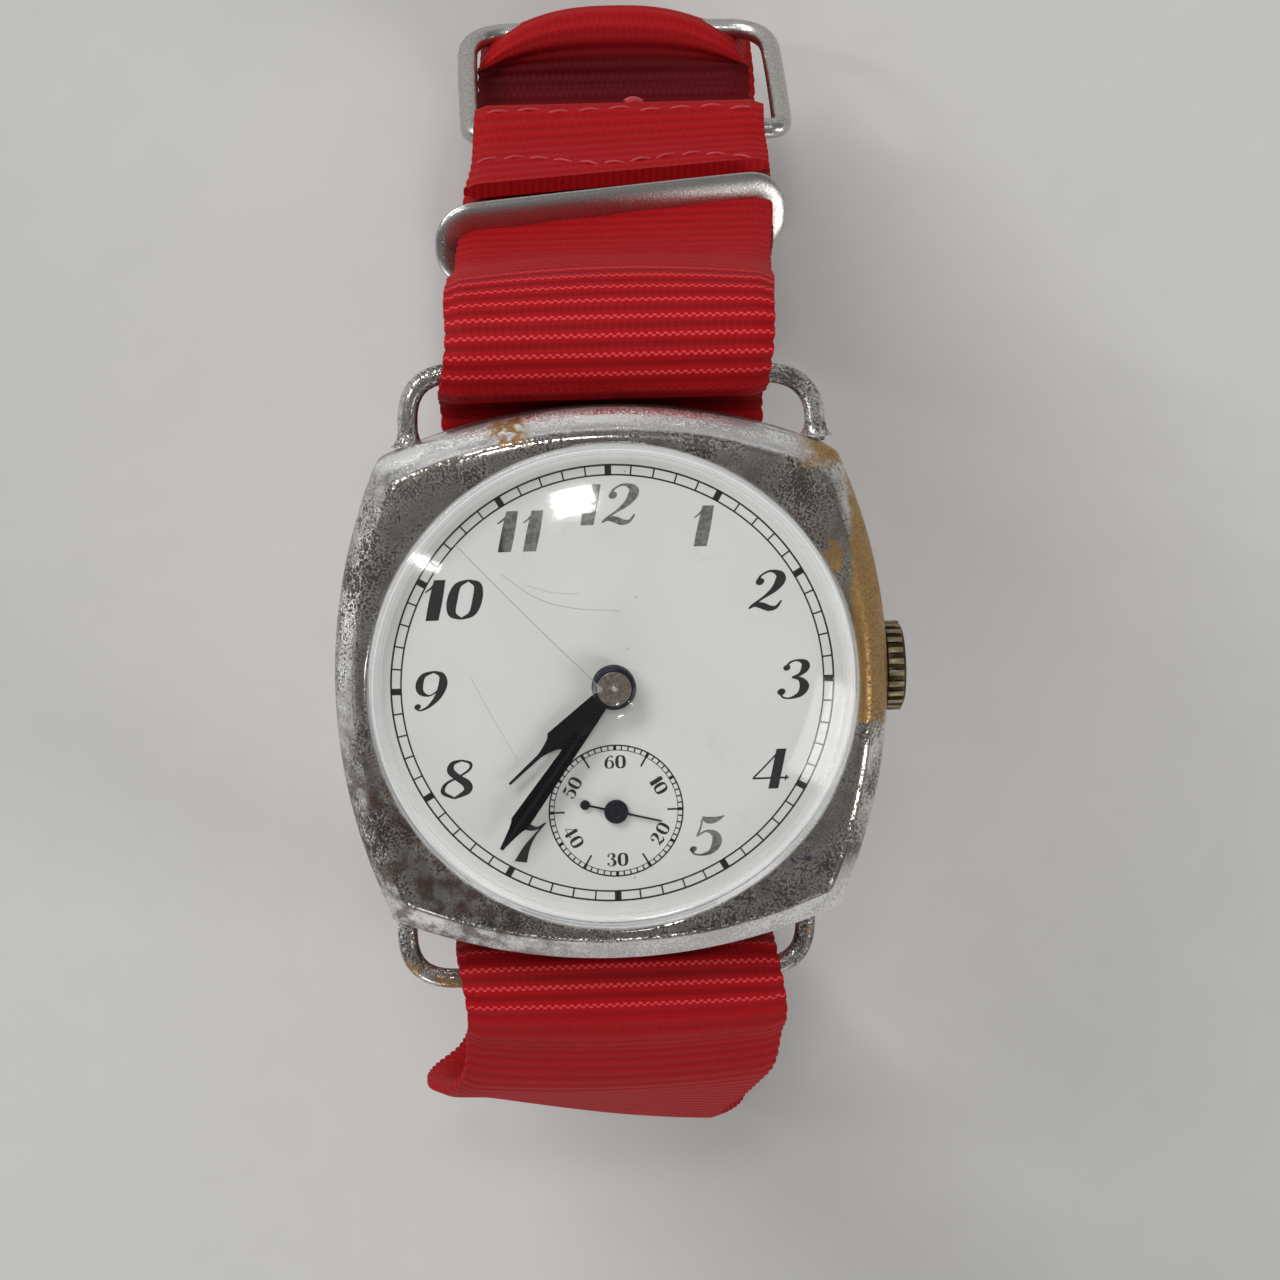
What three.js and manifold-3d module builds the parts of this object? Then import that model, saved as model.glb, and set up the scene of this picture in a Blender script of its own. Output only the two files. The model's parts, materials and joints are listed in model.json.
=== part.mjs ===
// Hand-wound cushion wristwatch on a webbing strap, built piece by piece.
// Units are millimetres. Z points out of the dial, Y to 12 o'clock, X to 3 o'clock (the crown).
// The origin is on the strap loop's flat rest face, straight below the dial's centre.

import * as THREE from 'three';
import { mergeVertices } from 'three/addons/utils/BufferGeometryUtils.js';
import Module from 'manifold-3d';

const wasm = await Module();
wasm.setup();

// ---------------------------------------------------------------- driving dimensions

const CASE = { half: 14.9, sideRadius: 30.4, cornerRadius: 1.8 };
const LEVEL = {
  backOuter: 43.2, backInner: 44.1, middleLow: 45.2, middleHigh: 48.35, bezelHigh: 51.0,
  bridgeLow: 45.05, bridgeHigh: 45.75, plateLow: 47.4, plateHigh: 48.2,
  dialLow: 49.2, dialHigh: 49.6, stem: 46.3, lug: 46.0,
};
const MOVEMENT_RADIUS = 11.85;
const CRYSTAL = { radius: 13.25, wall: 0.6, low: 49.75, shoulder: 50.95, top: 52.6 };
const DIAL_RADIUS = 13.2;
const SECONDS_Y = -6.97;
const CROWN = { radius: 2.475, inner: 15.05, outer: 16.2, ridges: 24 };
const LUG = { wireRadius: 0.55, legX: 11.1, bend: 2.4, bar12: 16.78, shift12: 0.45, bar6: 17.0, shift6: -0.5 };
const STRAP = { width: 18, thickness: 1.1, pinch: 0.975, lean12: 0.5, drift12: 2.6,
  lean6: 0.45, drift6: -2.2, floorShift: 1.1 };
const BUCKLE = { nearY: 28.9, nearZ: 20.0, reach: 11.35, inner: 17.9, wireRadius: 0.62, hang: 9.2 };
const KEEPER = { along: 10.6, innerWidth: 19.2, innerDepth: 3.2, wall: 0.55, length: 2.0, tilt: -9 };
const TIME = { minuteDeg: 216, hourDeg: 228, secondDeg: 104 };

// Hands: [low, high] of each layer, hub radii, and blades as [reach, half width] from hub to tip.
const HANDS = {
  second: [49.72, 49.84], hour: [50.0, 50.15], minute: [50.45, 50.6], cap: [50.55, 50.92],
  hubRadius: 1.19, capRadius: 0.93, secondHub: 0.66,
  hourBlade: [[0.9, 0.25], [3.2, 0.3], [4.1, 0.57], [4.7, 0.28], [5.5, 0.1], [7.8, 0.05]],
  minuteBlade: [[0.9, 0.33], [9.0, 0.53], [9.5, 0.3], [10.1, 0.13], [10.8, 0.08]],
  secondBlade: [[-1.6, 0.07], [2.54, 0.07]],
};

// Straight stretch of strap beside 12 o'clock: unit vectors up along it and out of it, as [y, z].
const ALONG = [-0.4, 0.9165];
const OUT = [0.9165, 0.4];

// Going train: arbor positions in plan, tooth counts and modules.
const BARREL = { x: 0, y: 6.08, teeth: 60, module: 0.1737 };
const CENTER = { x: 0, y: 0, teeth: 48, module: 0.16667, leaves: 10 };
const THIRD = { x: 2.27, y: -3.885, teeth: 45, module: 0.1502, leaves: 6 };
const FOURTH = { x: 0, y: SECONDS_Y, teeth: 60, module: 0.0933, leaves: 6 };
const ESCAPE = { x: -2.93, y: -7.92, teeth: 15, radius: 1.42, leaves: 6 };
const PALLET = { x: -3.98, y: -6.22 };
const BALANCE = { x: -6.2, y: -2.6, outer: 4.0, inner: 3.5 };
const RATCHET = { teeth: 44, module: 0.2 };
const CROWN_WHEEL = { x: 7.2, y: 3.35, teeth: 33 };
const CLICK = { x: -5.75, y: 4.6 };
const STEM_RADIUS = 0.34;
const MOTION = { module: 0.13, cannon: 10, minute: 30, minutePinion: 8, hour: 32, angle: 20 };

// Heights of the movement's flat layers, as [low, high].
const LAYER = {
  winding: [44.55, 44.95], click: [44.6, 44.93],
  barrelFloor: [46.0, 46.3], barrelWall: [46.2, 46.84], barrelLid: [46.87, 46.99],
  mainspring: [46.38, 46.8],
  centerLeaves: [45.9, 46.5], centerWheel: [47.1, 47.25],
  thirdWheel: [46.6, 46.75], thirdLeaves: [46.7, 47.3],
  fourthWheel: [46.15, 46.3], fourthLeaves: [46.25, 46.9],
  escapeLeaves: [46.0, 46.85], lever: [46.78, 46.93],
  balance: [46.2, 46.5], hairspring: [45.85, 46.05], palletBridge: [46.56, 46.73],
  cannonLeaves: [48.28, 48.52], minuteWheel: [48.3, 48.45], minutePinion: [48.4, 48.95],
  hourWheel: [48.62, 48.82],
};
const ARBOR_LOW = 45.2;
const ARBOR_HIGH = 47.8;

// ---------------------------------------------------------------- colours

const METAL = {
  nickel: [0x8f8c86, 0.38, 1.0],
  brass: [0xb68a45, 0.35, 1.0],
  steel: [0x9a9c9f, 0.28, 1.0],
  blued: [0x10131c, 0.3, 0.8],
  gilt: [0xc7a15a, 0.3, 1.0],
  crownBrass: [0x6a5a3a, 0.5, 0.9],
};
const PLAIN = {
  glass: [0xe8eef2, 0.05, 0.0],
  dialWhite: [0xd6d4ce, 0.55, 0.0],
  webbing: [0xa50f19, 0.85, 0.0],
};

function finish([color, roughness, metalness]) {
  return new THREE.MeshStandardMaterial({ color, roughness, metalness });
}

// ---------------------------------------------------------------- solid helpers

function toSolid(geometry) {
  const bare = geometry.index ? geometry.toNonIndexed() : geometry.clone();
  bare.deleteAttribute('normal');
  bare.deleteAttribute('uv');
  const merged = mergeVertices(bare, 1e-4);
  const mesh = new wasm.Mesh({
    numProp: 3,
    vertProperties: new Float32Array(merged.attributes.position.array),
    triVerts: new Uint32Array(merged.index.array),
  });
  return new wasm.Manifold(mesh);
}

function toGeometry(solid) {
  const mesh = solid.getMesh();
  const geometry = new THREE.BufferGeometry();
  geometry.setAttribute('position', new THREE.BufferAttribute(new Float32Array(mesh.vertProperties), 3));
  geometry.setIndex(new THREE.BufferAttribute(new Uint32Array(mesh.triVerts), 1));
  geometry.computeVertexNormals();
  return geometry;
}

function joined(first, ...others) {
  let solid = toSolid(first);
  for (const other of others) {
    solid = solid.add(toSolid(other));
  }
  return toGeometry(solid);
}

function cut(body, ...tools) {
  let solid = toSolid(body);
  for (const tool of tools) {
    solid = solid.subtract(toSolid(tool));
  }
  return toGeometry(solid);
}

// A turned piece about a vertical axis. The profile is a list of [radius, z].
function turned(profile, segments = 24, x = 0, y = 0) {
  const points = profile.map(([r, z]) => new THREE.Vector2(r, z));
  const geometry = new THREE.LatheGeometry(points, segments);
  geometry.rotateX(Math.PI / 2);
  geometry.translate(x, y, 0);
  return geometry;
}

function rod(radius, low, high, x = 0, y = 0, segments = 12) {
  return turned([[0, low], [radius, low], [radius, high], [0, high]], segments, x, y);
}

function pipe(inner, outer, low, high, x = 0, y = 0, segments = 20) {
  const profile = [[inner, low], [outer, low], [outer, high], [inner, high], [inner, low]];
  return turned(profile, segments, x, y);
}

// The same, turned about the stem's axis: z values of the profile become x.
function turnedOnStem(profile, segments = 16) {
  const geometry = turned(profile, segments);
  geometry.rotateY(Math.PI / 2);
  geometry.translate(0, 0, LEVEL.stem);
  return geometry;
}

function slab(shape, low, high, curveSegments = 12) {
  const geometry = new THREE.ExtrudeGeometry(shape, {
    depth: high - low, bevelEnabled: false, curveSegments,
  });
  geometry.translate(0, 0, low);
  return geometry;
}

function wireAlong(curve, radius, steps, sides = 8) {
  const section = new THREE.Shape();
  for (let i = 0; i < sides; i += 1) {
    const angle = (2 * Math.PI * i) / sides;
    const point = [radius * Math.cos(angle), radius * Math.sin(angle)];
    if (i === 0) section.moveTo(...point);
    else section.lineTo(...point);
  }
  return new THREE.ExtrudeGeometry(section, { steps, extrudePath: curve, bevelEnabled: false });
}

function outline(points) {
  return new THREE.Shape(points.map(([x, y]) => new THREE.Vector2(x, y)));
}

// ---------------------------------------------------------------- cushion outline

// Distance from the centre to the cushion's edge in one direction, over its half width.
function cushionFactor(angle) {
  const quarter = Math.PI / 2;
  const folded = Math.abs(angle - quarter * Math.round(angle / quarter));
  const offset = CASE.sideRadius - CASE.half;
  const gap = CASE.sideRadius - CASE.cornerRadius;
  const diagonal = (Math.sqrt(4 * gap ** 2 - 2 * offset ** 2) - Math.SQRT2 * offset) / 2;
  const cornerX = diagonal / Math.SQRT2;
  const tangent = Math.atan2(cornerX, cornerX + offset);
  const tangentAngle = Math.atan2(
    CASE.sideRadius * Math.sin(tangent), CASE.sideRadius * Math.cos(tangent) - offset);
  if (folded < tangentAngle) {
    const along = offset * Math.cos(folded);
    return (Math.sqrt(along ** 2 - offset ** 2 + CASE.sideRadius ** 2) - along) / CASE.half;
  }
  const off = Math.PI / 4 - folded;
  const reach = Math.sqrt(CASE.cornerRadius ** 2 - (diagonal * Math.sin(off)) ** 2);
  return (diagonal * Math.cos(off) + reach) / CASE.half;
}

// A lathe whose marked rings follow the cushion. Profile entries are [radius, z, cushioned?].
function cushioned(profile, segments = 48) {
  const geometry = turned(profile, segments);
  const position = geometry.attributes.position;
  for (let i = 0; i < position.count; i += 1) {
    if (!profile[i % profile.length][2]) continue;
    const factor = cushionFactor(Math.atan2(position.getY(i), position.getX(i)));
    position.setXY(i, position.getX(i) * factor, position.getY(i) * factor);
  }
  return geometry;
}

// ---------------------------------------------------------------- case

function bezel() {
  const low = LEVEL.middleHigh + 0.03;
  return cushioned([
    [13.3, low, false],
    [14.7, low, true],
    [14.75, low + 0.45, true],
    [14.1, LEVEL.bezelHigh - 0.55, true],
    [13.55, LEVEL.bezelHigh - 0.1, true],
    [13.32, LEVEL.bezelHigh, false],
    [13.3, LEVEL.bezelHigh - 0.05, false],
    [13.3, low, false],
  ]);
}

function caseMiddle() {
  const body = cushioned([
    [12.0, LEVEL.middleLow, false],
    [14.5, LEVEL.middleLow, true],
    [14.9, LEVEL.middleLow + 0.7, true],
    [14.9, LEVEL.middleHigh - 0.5, true],
    [14.75, LEVEL.middleHigh, true],
    [12.0, LEVEL.middleHigh, false],
    [12.0, LEVEL.middleLow, false],
  ]);
  const tools = [turnedOnStem([[0, 11], [0.84, 11], [0.84, 16], [0, 16]])];
  for (const x of [-LUG.legX, LUG.legX]) {
    for (const side of [-1, 1]) {
      const shift = side > 0 ? LUG.shift12 : LUG.shift6;
      const hole = new THREE.CylinderGeometry(LUG.wireRadius + 0.04, LUG.wireRadius + 0.04, 3, 10);
      hole.translate(x + shift, side * 13.2, LEVEL.lug);
      tools.push(hole);
    }
  }
  return cut(body, ...tools);
}

function caseBack() {
  return cushioned([
    [0, LEVEL.backOuter, false],
    [13.0, LEVEL.backOuter, true],
    [14.1, LEVEL.backOuter + 0.6, true],
    [14.4, LEVEL.middleLow - 0.03, true],
    [12.8, LEVEL.middleLow - 0.03, false],
    [12.4, LEVEL.backInner, false],
    [0, LEVEL.backInner, false],
  ]);
}

function domedCrystal() {
  const { radius, wall, low, shoulder, top } = CRYSTAL;
  const inner = radius - wall;
  const rise = top - shoulder;
  const steps = 3;
  const profile = [[inner, low], [radius, low], [radius, shoulder]];
  for (let i = 1; i < steps; i += 1) {
    const part = i / steps;
    profile.push([radius * (1 - part), shoulder + rise * (1 - (1 - part) ** 3)]);
  }
  profile.push([0, top], [0, top - wall]);
  for (let i = steps - 1; i > 0; i -= 1) {
    const part = i / steps;
    profile.push([inner * (1 - part), shoulder - wall + rise * (1 - (1 - part) ** 3)]);
  }
  profile.push([inner, shoulder - wall], [inner, low]);
  return turned(profile, 32);
}

// Wire lug soldered into two drilled holes: two legs, two bends and a crossbar.
function lugWire(side) {
  const { legX, bend } = LUG;
  const barY = side > 0 ? LUG.bar12 : LUG.bar6;
  const shift = side > 0 ? LUG.shift12 : LUG.shift6;
  const at = (x, y) => new THREE.Vector3(x + shift, side * y, LEVEL.lug);
  const path = new THREE.CurvePath();
  path.add(new THREE.LineCurve3(at(-legX, 12.1), at(-legX, barY - bend)));
  path.add(new THREE.QuadraticBezierCurve3(
    at(-legX, barY - bend), at(-legX, barY), at(-legX + bend, barY)));
  path.add(new THREE.LineCurve3(at(-legX + bend, barY), at(legX - bend, barY)));
  path.add(new THREE.QuadraticBezierCurve3(
    at(legX - bend, barY), at(legX, barY), at(legX, barY - bend)));
  path.add(new THREE.LineCurve3(at(legX, barY - bend), at(legX, 12.1)));
  return wireAlong(path, LUG.wireRadius, 22, 6);
}

// ---------------------------------------------------------------- dial and hands

function dialPlate() {
  const disc = turned([[0, LEVEL.dialLow], [DIAL_RADIUS, LEVEL.dialLow],
    [DIAL_RADIUS, LEVEL.dialHigh], [0, LEVEL.dialHigh]], 40);
  const centerHole = rod(0.95, LEVEL.dialLow - 1, LEVEL.dialHigh + 1);
  const secondsHole = rod(0.3, LEVEL.dialLow - 1, LEVEL.dialHigh + 1, 0, SECONDS_Y, 10);
  return cut(disc, centerHole, secondsHole);
}

// A hand's blade pointing to 12 around the origin.
function handBlade(stations, low, high) {
  const right = stations.map(([reach, half]) => [half, reach]);
  const left = stations.map(([reach, half]) => [-half, reach]).reverse();
  return slab(outline([...right, ...left]), low, high);
}

function pointed(geometry, clockwiseDeg, x = 0, y = 0) {
  geometry.rotateZ(-THREE.MathUtils.degToRad(clockwiseDeg));
  geometry.translate(x, y, 0);
  return geometry;
}

function hourHand() {
  const blade = handBlade(HANDS.hourBlade, ...HANDS.hour);
  const hub = rod(HANDS.hubRadius, ...HANDS.hour, 0, 0, 20);
  return pointed(cut(joined(blade, hub), rod(0.88, 49, 51)), TIME.hourDeg);
}

function minuteHand() {
  const blade = handBlade(HANDS.minuteBlade, ...HANDS.minute);
  const hub = rod(HANDS.hubRadius, ...HANDS.minute, 0, 0, 20);
  const cap = rod(HANDS.capRadius, ...HANDS.cap, 0, 0, 20);
  const socket = rod(0.58, 50, 50.72);
  return pointed(cut(joined(blade, hub, cap), socket), TIME.minuteDeg);
}

function secondHand() {
  const blade = handBlade(HANDS.secondBlade, ...HANDS.second);
  const tail = rod(0.27, ...HANDS.second, 0, -1.74);
  const hub = rod(HANDS.secondHub, HANDS.second[0], 49.9, 0, 0, 16);
  const socket = rod(0.17, 49, 49.82, 0, 0, 8);
  return pointed(cut(joined(blade, tail, hub), socket), TIME.secondDeg, 0, SECONDS_Y);
}

// ---------------------------------------------------------------- gears

// Vee-toothed wheel outline. The phase is the angle of one tooth tip, in degrees.
function toothed(teeth, module, phase = 0, addendum = 0.95) {
  const pitch = (teeth * module) / 2;
  const points = [];
  for (let i = 0; i < 2 * teeth; i += 1) {
    const radius = i % 2 ? pitch - 1.15 * module : pitch + addendum * module;
    const angle = THREE.MathUtils.degToRad(phase) + (Math.PI * i) / teeth;
    points.push([radius * Math.cos(angle), radius * Math.sin(angle)]);
  }
  return outline(points);
}

function gear(teeth, module, low, high, x = 0, y = 0, phase = 0) {
  const geometry = slab(toothed(teeth, module, phase), low, high);
  geometry.translate(x, y, 0);
  return geometry;
}

// Direction in degrees from one arbor to another.
function bearing(from, to) {
  return THREE.MathUtils.radToDeg(Math.atan2(to.y - from.y, to.x - from.x));
}

// Phase that puts a gap, not a tooth, on the given direction.
function gapAt(direction, teeth) {
  return direction + 180 / teeth;
}

// A stepped arbor with thin pivots at both ends.
function arbor(x, y, low, high, radius = 0.22, pivot = 0.12) {
  return turned([[0, low], [pivot, low], [pivot, low + 0.9], [radius, low + 0.9],
    [radius, high - 0.45], [pivot, high - 0.45], [pivot, high], [0, high]], 8, x, y);
}

function centerWheel() {
  const phase = bearing(CENTER, THIRD);
  const wheel = gear(CENTER.teeth, CENTER.module, ...LAYER.centerWheel, 0, 0, phase);
  const leaves = gear(CENTER.leaves, BARREL.module, ...LAYER.centerLeaves, 0, 0, bearing(CENTER, BARREL));
  const shaft = turned([[0, ARBOR_LOW], [0.2, ARBOR_LOW], [0.2, 45.8], [0.45, 45.8],
    [0.45, 47.3], [0.3, 47.3], [0.3, 50.65], [0, 50.65]], 10);
  return joined(wheel, leaves, shaft);
}

function thirdWheel() {
  const toCenter = gapAt(bearing(THIRD, CENTER), THIRD.leaves);
  const toFourth = bearing(THIRD, FOURTH);
  const { x, y } = THIRD;
  const wheel = gear(THIRD.teeth, THIRD.module, ...LAYER.thirdWheel, x, y, toFourth);
  const leaves = gear(THIRD.leaves, CENTER.module, ...LAYER.thirdLeaves, x, y, toCenter);
  return joined(wheel, leaves, arbor(x, y, ARBOR_LOW, ARBOR_HIGH));
}

function fourthWheel() {
  const toThird = gapAt(bearing(FOURTH, THIRD), FOURTH.leaves);
  const toEscape = bearing(FOURTH, ESCAPE);
  const { x, y } = FOURTH;
  const wheel = gear(FOURTH.teeth, FOURTH.module, ...LAYER.fourthWheel, x, y, toEscape);
  const leaves = gear(FOURTH.leaves, THIRD.module, ...LAYER.fourthLeaves, x, y, toThird);
  const shaft = turned([[0, ARBOR_LOW], [0.12, ARBOR_LOW], [0.12, 46.1], [0.22, 46.1],
    [0.22, 47.3], [0.15, 47.3], [0.15, 49.8], [0, 49.8]], 8, x, y);
  return joined(wheel, leaves, shaft);
}

function escapeWheel() {
  const { x, y, teeth, radius } = ESCAPE;
  const points = [];
  for (let i = 0; i < teeth; i += 1) {
    const start = (2 * Math.PI * i) / teeth + 0.1;
    for (const [turn, reach] of [[0, 0.72 * radius], [0.2, 0.72 * radius], [0.34, radius], [0.37, radius]]) {
      points.push([reach * Math.cos(start + turn), reach * Math.sin(start + turn)]);
    }
  }
  const wheel = slab(outline(points), ...LAYER.lever);
  wheel.translate(x, y, 0);
  const leaves = gear(ESCAPE.leaves, FOURTH.module, ...LAYER.escapeLeaves, x, y,
    gapAt(bearing(ESCAPE, FOURTH), ESCAPE.leaves));
  return joined(wheel, leaves, arbor(x, y, ARBOR_LOW, ARBOR_HIGH, 0.2));
}

// ---------------------------------------------------------------- escapement and balance

const LEVER_ANGLE = bearing(PALLET, BALANCE);

function turnedAbout(geometry, place, deg) {
  geometry.rotateZ(THREE.MathUtils.degToRad(deg));
  geometry.translate(place.x, place.y, 0);
  return geometry;
}

function palletFork() {
  const lever = outline([[-0.2, -0.14], [2.3, -0.09], [2.75, -0.32], [3.15, -0.3], [3.15, -0.14],
    [2.85, -0.1], [2.85, 0.1], [3.15, 0.14], [3.15, 0.3], [2.75, 0.32], [2.3, 0.09], [-0.2, 0.14]]);
  const arms = outline([[-0.22, 0], [0.2, 0], [-0.28, -1.3], [-0.62, -1.3], [-0.4, -0.6]]);
  const otherArm = outline([[-0.22, 0], [-0.4, 0.6], [-0.62, 1.3], [-0.28, 1.3], [0.2, 0]]);
  const flat = joined(...[lever, arms, otherArm].map((shape) => slab(shape, ...LAYER.lever)));
  const staff = rod(0.14, 46.45, 47.3, 0, 0, 8);
  return turnedAbout(joined(flat, staff), PALLET, LEVER_ANGLE);
}

function balanceWheel() {
  const rim = pipe(BALANCE.inner, BALANCE.outer, ...LAYER.balance, 0, 0, 24);
  const arm = new THREE.BoxGeometry(2 * BALANCE.inner + 0.4, 0.55, 0.2);
  arm.translate(0, 0, 46.35);
  const hub = rod(0.6, ...LAYER.balance, 0, 0, 12);
  return turnedAbout(cut(joined(rim, arm, hub), rod(0.24, 46, 47, 0, 0, 8)), BALANCE, 35);
}

function balanceStaff() {
  const shaft = turned([[0, ARBOR_LOW], [0.12, ARBOR_LOW], [0.12, 45.8], [0.22, 45.8],
    [0.22, 46.7], [0.62, 46.7], [0.62, 47.0], [0.12, 47.0], [0.12, ARBOR_HIGH], [0, ARBOR_HIGH]], 10);
  return turnedAbout(shaft, BALANCE, 0);
}

// Flat spiral strip standing on edge.
function spiral(inner, outer, turns, thickness, low, high, stepsPerTurn) {
  const count = Math.round(turns * stepsPerTurn);
  const edge = (shift) => Array.from({ length: count + 1 }, (_, i) => {
    const radius = inner + ((outer - inner) * i) / count + shift;
    const angle = (2 * Math.PI * turns * i) / count;
    return [radius * Math.cos(angle), radius * Math.sin(angle)];
  });
  return slab(outline([...edge(thickness / 2), ...edge(-thickness / 2).reverse()]), low, high);
}

function hairspring() {
  return turnedAbout(spiral(0.5, 2.5, 4, 0.08, ...LAYER.hairspring, 10), BALANCE, 0);
}

// ---------------------------------------------------------------- barrel and winding

function barrelDrum() {
  const { x, y, teeth, module } = BARREL;
  const phase = gapAt(bearing(BARREL, CENTER), teeth);
  const floor = gear(teeth, module, ...LAYER.barrelFloor, x, y, phase);
  const wall = pipe(4.7, 4.98, ...LAYER.barrelWall, x, y, 20);
  return cut(joined(floor, wall), rod(0.5, 45, 47, x, y, 10));
}

function barrelLid() {
  return pipe(0.42, 4.98, ...LAYER.barrelLid, BARREL.x, BARREL.y, 20);
}

function barrelArbor() {
  return turned([[0, 45.5], [0.25, 45.5], [0.25, 44.53], [0.4, 44.53], [0.4, 46.34], [0.8, 46.34],
    [0.8, 46.83], [0.34, 46.83], [0.34, ARBOR_HIGH], [0, ARBOR_HIGH]], 12, BARREL.x, BARREL.y);
}

function mainspring() {
  return turnedAbout(spiral(1.0, 4.5, 4, 0.14, ...LAYER.mainspring, 12), BARREL, 0);
}

function ratchetWheel() {
  const phase = bearing(BARREL, CROWN_WHEEL);
  const wheel = gear(RATCHET.teeth, RATCHET.module, ...LAYER.winding, BARREL.x, BARREL.y, phase);
  return cut(wheel, rod(0.43, 44, 46, BARREL.x, BARREL.y, 10));
}

function crownWheel() {
  const { x, y, teeth } = CROWN_WHEEL;
  const phase = gapAt(bearing(CROWN_WHEEL, BARREL), teeth);
  return cut(gear(teeth, RATCHET.module, ...LAYER.winding, x, y, phase), rod(0.56, 44, 46, x, y, 10));
}

// A cheese-head screw seen from the back, with its head towards the case back.
function backScrew(x, y, headRadius, headLow, headHigh, shankRadius, shankHigh) {
  const body = turned([[0, headLow], [headRadius, headLow], [headRadius, headHigh],
    [shankRadius, headHigh], [shankRadius, shankHigh], [0, shankHigh]], 12, x, y);
  const slot = new THREE.BoxGeometry(2.5 * headRadius, 0.16, 0.16);
  slot.translate(x, y, headLow);
  return cut(body, slot);
}

function crownWheelScrew() {
  const { x, y } = CROWN_WHEEL;
  const body = turned([[0, 44.25], [0.9, 44.25], [0.9, 44.52], [0.5, 44.52], [0.5, 45.02],
    [0.28, 45.02], [0.28, 45.6], [0, 45.6]], 12, x, y);
  const slot = new THREE.BoxGeometry(2.5, 0.16, 0.16);
  slot.translate(x, y, 44.25);
  return cut(body, slot);
}

function click() {
  const toward = bearing(CLICK, BARREL);
  const nose = outline([[-0.4, -0.35], [0.35, -0.4], [0.98, 0.5], [0.8, 0.62], [-0.1, 0.5]]);
  const body = turnedAbout(slab(nose, ...LAYER.click), CLICK, toward);
  const boss = rod(0.5, ...LAYER.click, CLICK.x, CLICK.y, 12);
  return cut(joined(body, boss), rod(0.22, 44, 45.5, CLICK.x, CLICK.y, 8));
}

function clickScrew() {
  return backScrew(CLICK.x, CLICK.y, 0.42, 44.38, 44.57, 0.18, 45.5);
}

function clickSpring() {
  const arc = new THREE.Shape();
  arc.absarc(CLICK.x, CLICK.y, 1.55, Math.PI * 0.6, Math.PI * 1.35, false);
  arc.absarc(CLICK.x, CLICK.y, 1.4, Math.PI * 1.35, Math.PI * 0.6, true);
  return slab(arc, 44.65, 44.9, 10);
}

function windingStem() {
  return turnedOnStem([[0, 5.9], [STEM_RADIUS, 5.9], [STEM_RADIUS, 15.3], [0, 15.3]], 10);
}

// A ribbed wheel turned about the stem, with a bore. Used for the winding pinion and the clutch.
function onStem(teeth, rootRadius, tipRadius, bore, start, end) {
  const points = [];
  for (let i = 0; i < 2 * teeth; i += 1) {
    const radius = i % 2 ? rootRadius : tipRadius;
    const angle = (Math.PI * i) / teeth;
    points.push([radius * Math.cos(angle), radius * Math.sin(angle)]);
  }
  const shape = outline(points);
  const hole = new THREE.Path();
  hole.absarc(0, 0, bore, 0, 2 * Math.PI, true);
  shape.holes.push(hole);
  const geometry = slab(shape, start, end, 5);
  geometry.rotateY(Math.PI / 2);
  geometry.translate(0, 0, LEVEL.stem);
  return geometry;
}

function crownKnob() {
  const { radius, inner, outer, ridges } = CROWN;
  const points = [];
  for (let i = 0; i < 2 * ridges; i += 1) {
    const angle = (Math.PI * i) / ridges;
    const reach = i % 2 ? radius - 0.16 : radius;
    points.push([reach * Math.cos(angle), reach * Math.sin(angle)]);
  }
  const knurled = slab(outline(points), inner, outer - 0.25);
  knurled.rotateY(Math.PI / 2);
  knurled.translate(0, 0, LEVEL.stem);
  const domed = turnedOnStem([[0, outer - 0.5], [2.2, outer - 0.5], [2.2, outer - 0.24],
    [1.3, outer - 0.06], [0, outer]], 24);
  const bore = turnedOnStem([[0, 14], [STEM_RADIUS + 0.03, 14], [STEM_RADIUS + 0.03, 15.4], [0, 15.4]]);
  return cut(joined(knurled, domed), bore);
}

function crownTube() {
  return turnedOnStem([[0.42, 11.6], [0.8, 11.6], [0.8, 14.85], [0.42, 14.85], [0.42, 11.6]], 16);
}

// ---------------------------------------------------------------- plates and bridges

const PILLARS = {
  barrel: [[-8.6, 5.4], [6.4, 8.5]],
  train: [[8.3, -4.5], [4.6, -9.2]],
  cock: [[-6.2, -9.1]],
};
const PIVOTS = [CENTER, THIRD, FOURTH, ESCAPE, BALANCE];

// Holes through a bridge for the pivots and screws that lie on it.
function drilled(body, pivots, screws) {
  const tools = pivots.map(({ x, y }) => rod(0.25, 44.5, 46.2, x, y, 8));
  for (const [x, y] of screws) {
    tools.push(rod(0.42, 44, 48, x, y, 8));
  }
  return cut(body, ...tools);
}

function bridge(shape, pillars) {
  const parts = pillars.map(([x, y]) => rod(0.95, LEVEL.bridgeHigh - 0.1, LEVEL.plateLow - 0.03, x, y, 12));
  return joined(slab(shape, LEVEL.bridgeLow, LEVEL.bridgeHigh, 10), ...parts);
}

function barrelBridge() {
  const shape = new THREE.Shape();
  const reach = 11.5;
  const start = Math.asin(1.75 / reach);
  shape.absarc(0, 0, reach, start, Math.PI - start, false);
  const body = drilled(bridge(shape, PILLARS.barrel), [], PILLARS.barrel);
  const arborHole = rod(0.45, 44, 46.5, BARREL.x, BARREL.y, 10);
  const screwHole = rod(0.33, 44, 46.5, CROWN_WHEEL.x, CROWN_WHEEL.y, 8);
  const clickHole = rod(0.22, 44, 46.5, CLICK.x, CLICK.y, 8);
  return cut(body, arborHole, screwHole, clickHole);
}

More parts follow.
